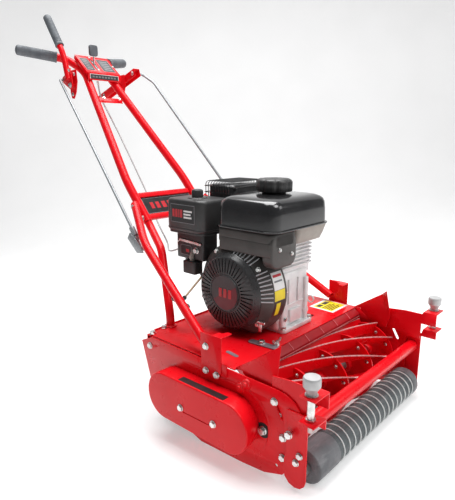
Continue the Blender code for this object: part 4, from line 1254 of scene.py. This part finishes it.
def band_patch(name, first, last, low, high, lift, material):
    """A label bent round the front of the band, between two angles in degrees."""
    loops = []
    count = 16
    for i in range(count + 1):
        a = math.radians(first + (last - first) * i / count)
        corners = ((low, 0.1176), (high, 0.1176), (high, 0.118 + lift), (low, 0.118 + lift))
        loops.append([Vector(on_crank(x, reach, a)) for x, reach in corners])
    piece(loft(name, loops), material)


band_patch("band_label_white", 150, 171, -0.104, -0.064, 0.0004, WHITE)
band_patch("band_label_yellow", 171.5, 184, -0.104, -0.064, 0.0004, YELLOW)
band_patch("band_label_black", 184.5, 206, -0.104, -0.064, 0.0004, LABEL_BLACK)
band_patch("band_label_sign", 187, 203, -0.096, -0.08, 0.0007, YELLOW)
band_patch("band_label_line", 153, 156, -0.1, -0.068, 0.0007, LABEL_RED)
band_patch("band_label_line2", 160, 162, -0.1, -0.07, 0.0007, LABEL_GREY)
clip = [
    block("clip_a", (-0.126, -0.168, 0.29), (-0.121, -0.14, 0.297), 0.001),
    block("clip_b", (-0.126, -0.158, 0.27), (-0.121, -0.15, 0.29), 0.001),
]
piece(joined("clip", clip), ZINC)

# Cylinder shroud under the tank, with a rounded lobe at its front right corner.
parts = [
    rolled_box("shroud_box", -0.056, -0.15, -0.0316, 0.009, 0.395, 0.485, 0.01, 0.004),
    rolled_box("hood_box", -0.13, -0.19, -0.0316, -0.017, 0.474, 0.5105, 0.016, 0.006),
    rolled_box("hood_skirt", -0.1306, -0.186, -0.122, -0.026, 0.456, 0.49, 0.004, 0.003),
    rolled_box("front_skirt", -0.129, 0.427, -0.033, 0.51, -0.19, -0.16, 0.024, 0.005, "Y"),
]
piece(joined("cylinder_cowl", parts), COWL, ["cylinder_shroud"])
bolts("cowl_screws", [(-0.1, -0.1902, 0.472), (-0.052, -0.1902, 0.456)], FORWARD, 0.0036, 0.003, 0.0052)

# Tank: a glossy upper shell, a pressed flange and a lower pan coloured pale grey as a painted reflection of
# the bright floor on the black enamel.
x0, y0, x1, y1 = -0.133, -0.196, 0.103, -0.014
rows = []
for z, inset, radius in (
    (0.516, 0.0, 0.03),
    (0.55, 0.0008, 0.03),
    (0.568, 0.0024, 0.03),
    (0.576, 0.0056, 0.029),
    (0.5815, 0.0115, 0.027),
    (0.5855, 0.0205, 0.025),
    (0.5876, 0.033, 0.022),
    (0.5886, 0.05, 0.02),
):
    rows.append((z, x0 + inset, y0 + inset, x1 - inset, y1 - inset, radius))
rim = 0.005
profile = [(0.0, 0.0), (0.036, 0.0), (0.031, 0.005), (0.03, 0.0094), (0.0, 0.0094)]
parts = [
    rounded_stack("tank_shell", rows),
    rolled_box("flange", x0 - rim, y0 - rim, x1 + rim, y1 + rim, 0.513, 0.5172, 0.034, 0.0012),
    lathe("neck", profile, (*CAP_AT, 0.5836), UP, 48),
]
piece(joined("tank_top", parts), ENAMEL, ["fuel_tank"], angle=40)
# The lower pan is black enamel; its pale grey is a painted reflection of the bright floor.
rows = []
for z, inset, radius in (
    (0.47, 0.022, 0.018), (0.474, 0.014, 0.022), (0.49, 0.008, 0.026), (0.5132, 0.002, 0.028)
):
    rows.append((z, -0.0305 + inset * 0.3, y0 + inset, x1 - inset, y1 - inset, radius * 0.5))
piece(rounded_stack("tank_pan", rows), GREY_AND_PAINTED_REFLECTION, angle=40)
cap_x, cap_y = CAP_AT
loops = []
for radius, z in (
    (0.0425, 0.5932), (0.045, 0.5956), (0.0452, 0.617), (0.043, 0.6216), (0.038, 0.6247), (0.025, 0.6257)
):
    loop = []
    for i in range(192):
        a = 2 * math.pi * i / 192
        swing = 0.5 + 0.5 * math.cos(8 * a)
        reach = radius * (1.0 - 0.08 * swing**4) if z < 0.625 else radius
        fine = 0.0004 * math.cos(48 * a) if z < 0.6212 else 0.0
        x = cap_x + reach * math.cos(a) + fine * math.cos(a)
        loop.append(Vector((x, cap_y + reach * math.sin(a) + fine * math.sin(a), z)))
    loops.append(loop)
piece(loft("fuel_cap_fluted", loops), BLACK, ["fuel_cap"], "tank_cap", angle=50)
rings = [ring(*CAP_AT, 0.012, 32), ring(*CAP_AT, 0.01, 32)]
piece(slab("fuel_cap_mark", rings, 0.6254, 0.626, "Z"), LABEL_GREY, body="tank_cap")

# Air cleaner
parts = [
    rolled_box("cleaner", -0.142, 0.022, -0.03, 0.162, 0.483, 0.569, 0.024, 0.009),
    rolled_box("cleaner_base", -0.139, 0.025, -0.033, 0.159, 0.479, 0.485, 0.022, 0.001),
    rolled_box("cleaner_seam", -0.1432, 0.0208, -0.0288, 0.1632, 0.4905, 0.4935, 0.025, 0.001),
    lathe("crown", [(0.0, 0.0), (0.03, 0.0), (0.024, 0.006), (0.0, 0.006)], (-0.093, 0.086, 0.566), UP, 40),
]
piece(joined("air_cleaner_shell", parts), BLACK, ["air_cleaner"], angle=40)
loops = []
for radius, z in ((0.011, 0.57), (0.015, 0.5725), (0.0155, 0.586), (0.014, 0.5905), (0.01, 0.5925)):
    loop = []
    for i in range(96):
        a = 2 * math.pi * i / 96
        notch = 1 - 0.08 * (0.5 + 0.5 * math.cos(6 * 2 * math.pi * i / 96)) ** 3
        loop.append(Vector((-0.093 + radius * notch * math.cos(a), 0.086 + radius * math.sin(a), z)))
    loops.append(loop)
piece(loft("air_cleaner_knob", loops), BLACK)


def side_patch(x, y0, z0, y1, z1):
    """The corners of an upright rectangle that faces the operator's right."""
    return [(x, y1, z0), (x, y0, z0), (x, y0, z1), (x, y1, z1)]


decal("cleaner_border", side_patch(-0.1422, 0.047, 0.508, 0.137, 0.556), 0.0003, LABEL_GREY)
quad = side_patch(-0.1423, 0.0488, 0.5096, 0.1352, 0.5544)
decal("cleaner_field", quad, 0.0004, LABEL_BLACK)
letters = ((0.06, 0.1), (0.19, 0.1), (0.32, 0.05), (0.4, 0.1))
marks("cleaner_marks", quad, 0.0007, [(at, 0.28, width, 0.46) for at, width in letters], LABEL_RED)
lines = ((0.62, 0.36), (0.44, 0.3), (0.26, 0.34))
marks("cleaner_lines", quad, 0.0007, [(0.56, rise, width, 0.1) for rise, width in lines], WHITE)

# Carburettor, its linkage and the dark block beside it
profile = [(0.0, 0.0), (0.022, 0.0), (0.024, 0.004), (0.024, 0.024), (0.0, 0.024)]
parts = [
    rolled_box("carb", -0.115, 0.045, -0.056, 0.15, 0.406, 0.4796, 0.01, 0.003),
    lathe("bowl", profile, (-0.088, 0.108, 0.386), UP, 36),
]
piece(joined("carburettor_body", parts), BLACK, ["carburetor"], angle=40)
path = [(-0.118, 0.126, 0.4558), (-0.118, 0.14, 0.45), (-0.108, 0.15, 0.42)]
parts = [
    slab("choke_arm", [capsule(0.052, 0.452, 0.13, 0.456, 0.003, 12)], -0.119, -0.1165),
    rod("stub", 0.0035, (-0.115, 0.058, 0.4525), (-0.1215, 0.058, 0.4525), 18),
    tube("link", bent(path, 0.005, 8), 0.0012, 12),
]
piece(joined("carburettor_linkage", parts), ZINC)
bolts("carburettor_nut", [(-0.1152, 0.07, 0.433)], TO_RIGHT, 0.0062, 0.007, 0.009)
piece(slab("plate_border", [round_rect(0.088, 0.416, 0.13, 0.444, 0.005)], -0.1166, -0.115), LABEL_GREY)
piece(slab("plate_field", [round_rect(0.09, 0.418, 0.128, 0.442, 0.004)], -0.1172, -0.116), LABEL_BLACK)
piece(slab("plate_mark", [round_rect(0.096, 0.425, 0.108, 0.433, 0.001)], -0.1176, -0.1168), LABEL_RED)
piece(rolled_box("governor_box", -0.13, 0.062, -0.098, 0.11, 0.37, 0.404, 0.006, 0.003), BLACK)
path = [(-0.116, 0.086, 0.398), (-0.118, 0.086, 0.416), (-0.108, 0.086, 0.434)]
piece(tube("grey_neck", bent(path, 0.006, 8), 0.0062, 24), GREY_AND_PAINTED_REFLECTION)

# Muffler and its guard
profile = [(0.0, 0.0), (0.011, 0.0), (0.011, 0.02), (0.009, 0.02), (0.009, 0.004), (0.0, 0.004)]
parts = [
    rolled_box("can", -0.023, 0.03, 0.12, 0.125, 0.505, 0.6, 0.026, 0.01),
    lathe("pipe", profile, (0.118, 0.078, 0.55), TO_LEFT, 32),
    rolled_box("manifold", 0.01, 0.03, 0.05, 0.075, 0.47, 0.51, 0.01, 0.002),
]
piece(joined("muffler_can", parts), ENAMEL, ["muffler"], angle=40)
WIRE_R = 0.0011
wires = []
for k in range(10):
    y = 0.034 + 0.0096 * k
    path = [(-0.027, y, 0.56), (-0.027, y, 0.608), (0.124, y, 0.608), (0.124, y, 0.56)]
    wires.append(tube("wire", bent(path, 0.012, 6), WIRE_R, 8))
for z in (0.56, 0.578, 0.595):
    corners = (
        (-0.028, 0.027), (-0.028, 0.127), (0.125, 0.127), (0.125, 0.027), (-0.028, 0.027), (-0.028, 0.03)
    )
    wires.append(tube("wire", bent([(x, y, z) for x, y in corners], 0.006, 4), WIRE_R, 8))
for k in range(10):
    x = -0.012 + 0.0135 * k
    wires.append(tube("wire", [(x, 0.034, 0.6085), (x, 0.1204, 0.6085)], WIRE_R, 8))
piece(joined("muffler_guard", wires), ENAMEL)

# Starter: rope eye on the band, the rope itself and the pull grip
ROPE_EYE = Vector((-0.132, 0.03, 0.377))
GRIP_AT = Vector((-0.195, 0.048, 0.315))
away = (GRIP_AT - ROPE_EYE).normalized()
cross = Vector((0.18, 0.832, 0.522))
cross = (cross - away * cross.dot(away)).normalized()
other = cross.cross(away)
profile = [(0.0045, -0.004), (0.0085, -0.004), (0.009, 0.0), (0.0085, 0.003), (0.0045, 0.003)]
piece(lathe("rope_eyelet", profile, ROPE_EYE, away, 28), BLACK)
widths = [(0.0, 0.0085), (0.4, 0.0078), (0.8, 0.0085), (0.96, 0.0072), (1.0, 0.005)]
loops = []
for share, width in [(-s, w) for s, w in widths[:0:-1]] + widths:
    centre = GRIP_AT + cross * 0.029 * share
    angles = [2 * math.pi * i / 28 for i in range(28)]
    loops.append([centre + away * width * math.cos(a) + other * width * 0.9 * math.sin(a) for a in angles])
stem = rod("starter_stem", 0.0055, GRIP_AT - away * 0.02, GRIP_AT, 24, 0.001)
piece(joined("starter_handle", [loft("starter_bar", loops), stem]), BLACK, ["starter_grip"], "starter")
rope_from = ROPE_EYE + away * 0.0035
rope_to = GRIP_AT - away * 0.019
path = [rope_from + (rope_to - rope_from) * (i / 24) for i in range(25)]
rope = tube("starter_rope", path, 0.0028, 12)
rope.data.transform(STAND)
rope.data.materials.append(ROPE)
rope.data.shade_smooth()
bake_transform(rope)

# ---------------------------------------------------------------- camera, floor and light
YAW = 0.83
PITCH = 0.227
ROLL = 0.001
CAMERA_AT = (-0.98, -0.832, 0.723)
LENS = 38.39736


def camera():
    ahead = Vector((math.sin(YAW) * math.cos(PITCH), math.cos(YAW) * math.cos(PITCH), -math.sin(PITCH)))
    right = Vector((math.cos(YAW), -math.sin(YAW), 0.0))
    up = right.cross(ahead)
    turn = Matrix((right, up, -ahead)).transposed().to_4x4() @ Matrix.Rotation(-ROLL, 4, "Z")
    turn.translation = Vector(CAMERA_AT)
    data = bpy.data.cameras.new("camera")
    data.sensor_fit = "HORIZONTAL"
    data.sensor_width = 36.0
    data.lens = LENS
    data.clip_start = 0.02
    made = bpy.data.objects.new("camera", data)
    bpy.context.collection.objects.link(made)
    made.matrix_world = STAND @ turn
    bpy.context.scene.camera = made


def area(name, place, target, size, power):
    data = bpy.data.lights.new(name, "AREA")
    data.shape = "RECTANGLE"
    data.size = size
    data.size_y = size
    data.energy = power
    made = bpy.data.objects.new(name, data)
    bpy.context.collection.objects.link(made)
    made.location = place
    made.rotation_euler = (Vector(target) - Vector(place)).to_track_quat("-Z", "Y").to_euler()


def studio_sweep():
    """A floor that curves up into a back wall, square to the camera's heading."""
    run = 2.6
    curve = 1.6
    wall = 7.0
    half = 8.0
    heading = Vector((math.sin(YAW), math.cos(YAW), 0.0))
    across = Vector((heading.y, -heading.x, 0.0))
    profile = [(-wall, 0.0), (run, 0.0)]
    for i in range(1, 13):
        a = math.radians(90 * i / 12)
        profile.append((run + curve * math.sin(a), curve * (1 - math.cos(a))))
    profile.append((run + curve, wall))
    points = []
    for along, rise in profile:
        for wide in (-half, half):
            points.append(heading * along + across * wide + Vector((0.0, 0.0, rise)))
    faces = [(2 * i, 2 * i + 1, 2 * i + 3, 2 * i + 2) for i in range(len(profile) - 1)]
    floor = mesh_object("studio_sweep", points, faces)
    floor.data.shade_smooth()
    n = Nodes("floor_pale")
    n.feed("Base Color", n.ramp(n.noise(3.0, 3.0), [(0.3, 0.66), (0.7, 0.7)]))
    glow = (1.0, 1.0, 1.0, 1.0)
    n.set(roughness=0.95, specular_ior_level=0.05, emission_color=glow, emission_strength=0.4)
    floor.data.materials.append(n.mat)


camera()
studio_sweep()
area("key", (0.2, -2.3, 3.0), (0.0, -0.1, 0.3), 1.4, 50)
area("top", (0.3, 0.2, 3.4), (0.0, 0.0, 0.3), 2.4, 150)
area("front", (1.6, -2.6, 1.6), (0.0, -0.3, 0.2), 1.2, 12)
world = bpy.data.worlds.new("studio")
bpy.context.scene.world = world
world.use_nodes = True
sky = world.node_tree.nodes["Background"]
sky.inputs["Color"].default_value = (0.96, 0.97, 1.0, 1.0)
sky.inputs["Strength"].default_value = 0.14
bpy.context.scene.view_settings.view_transform = "Standard"

bpy.context.view_layer.update()
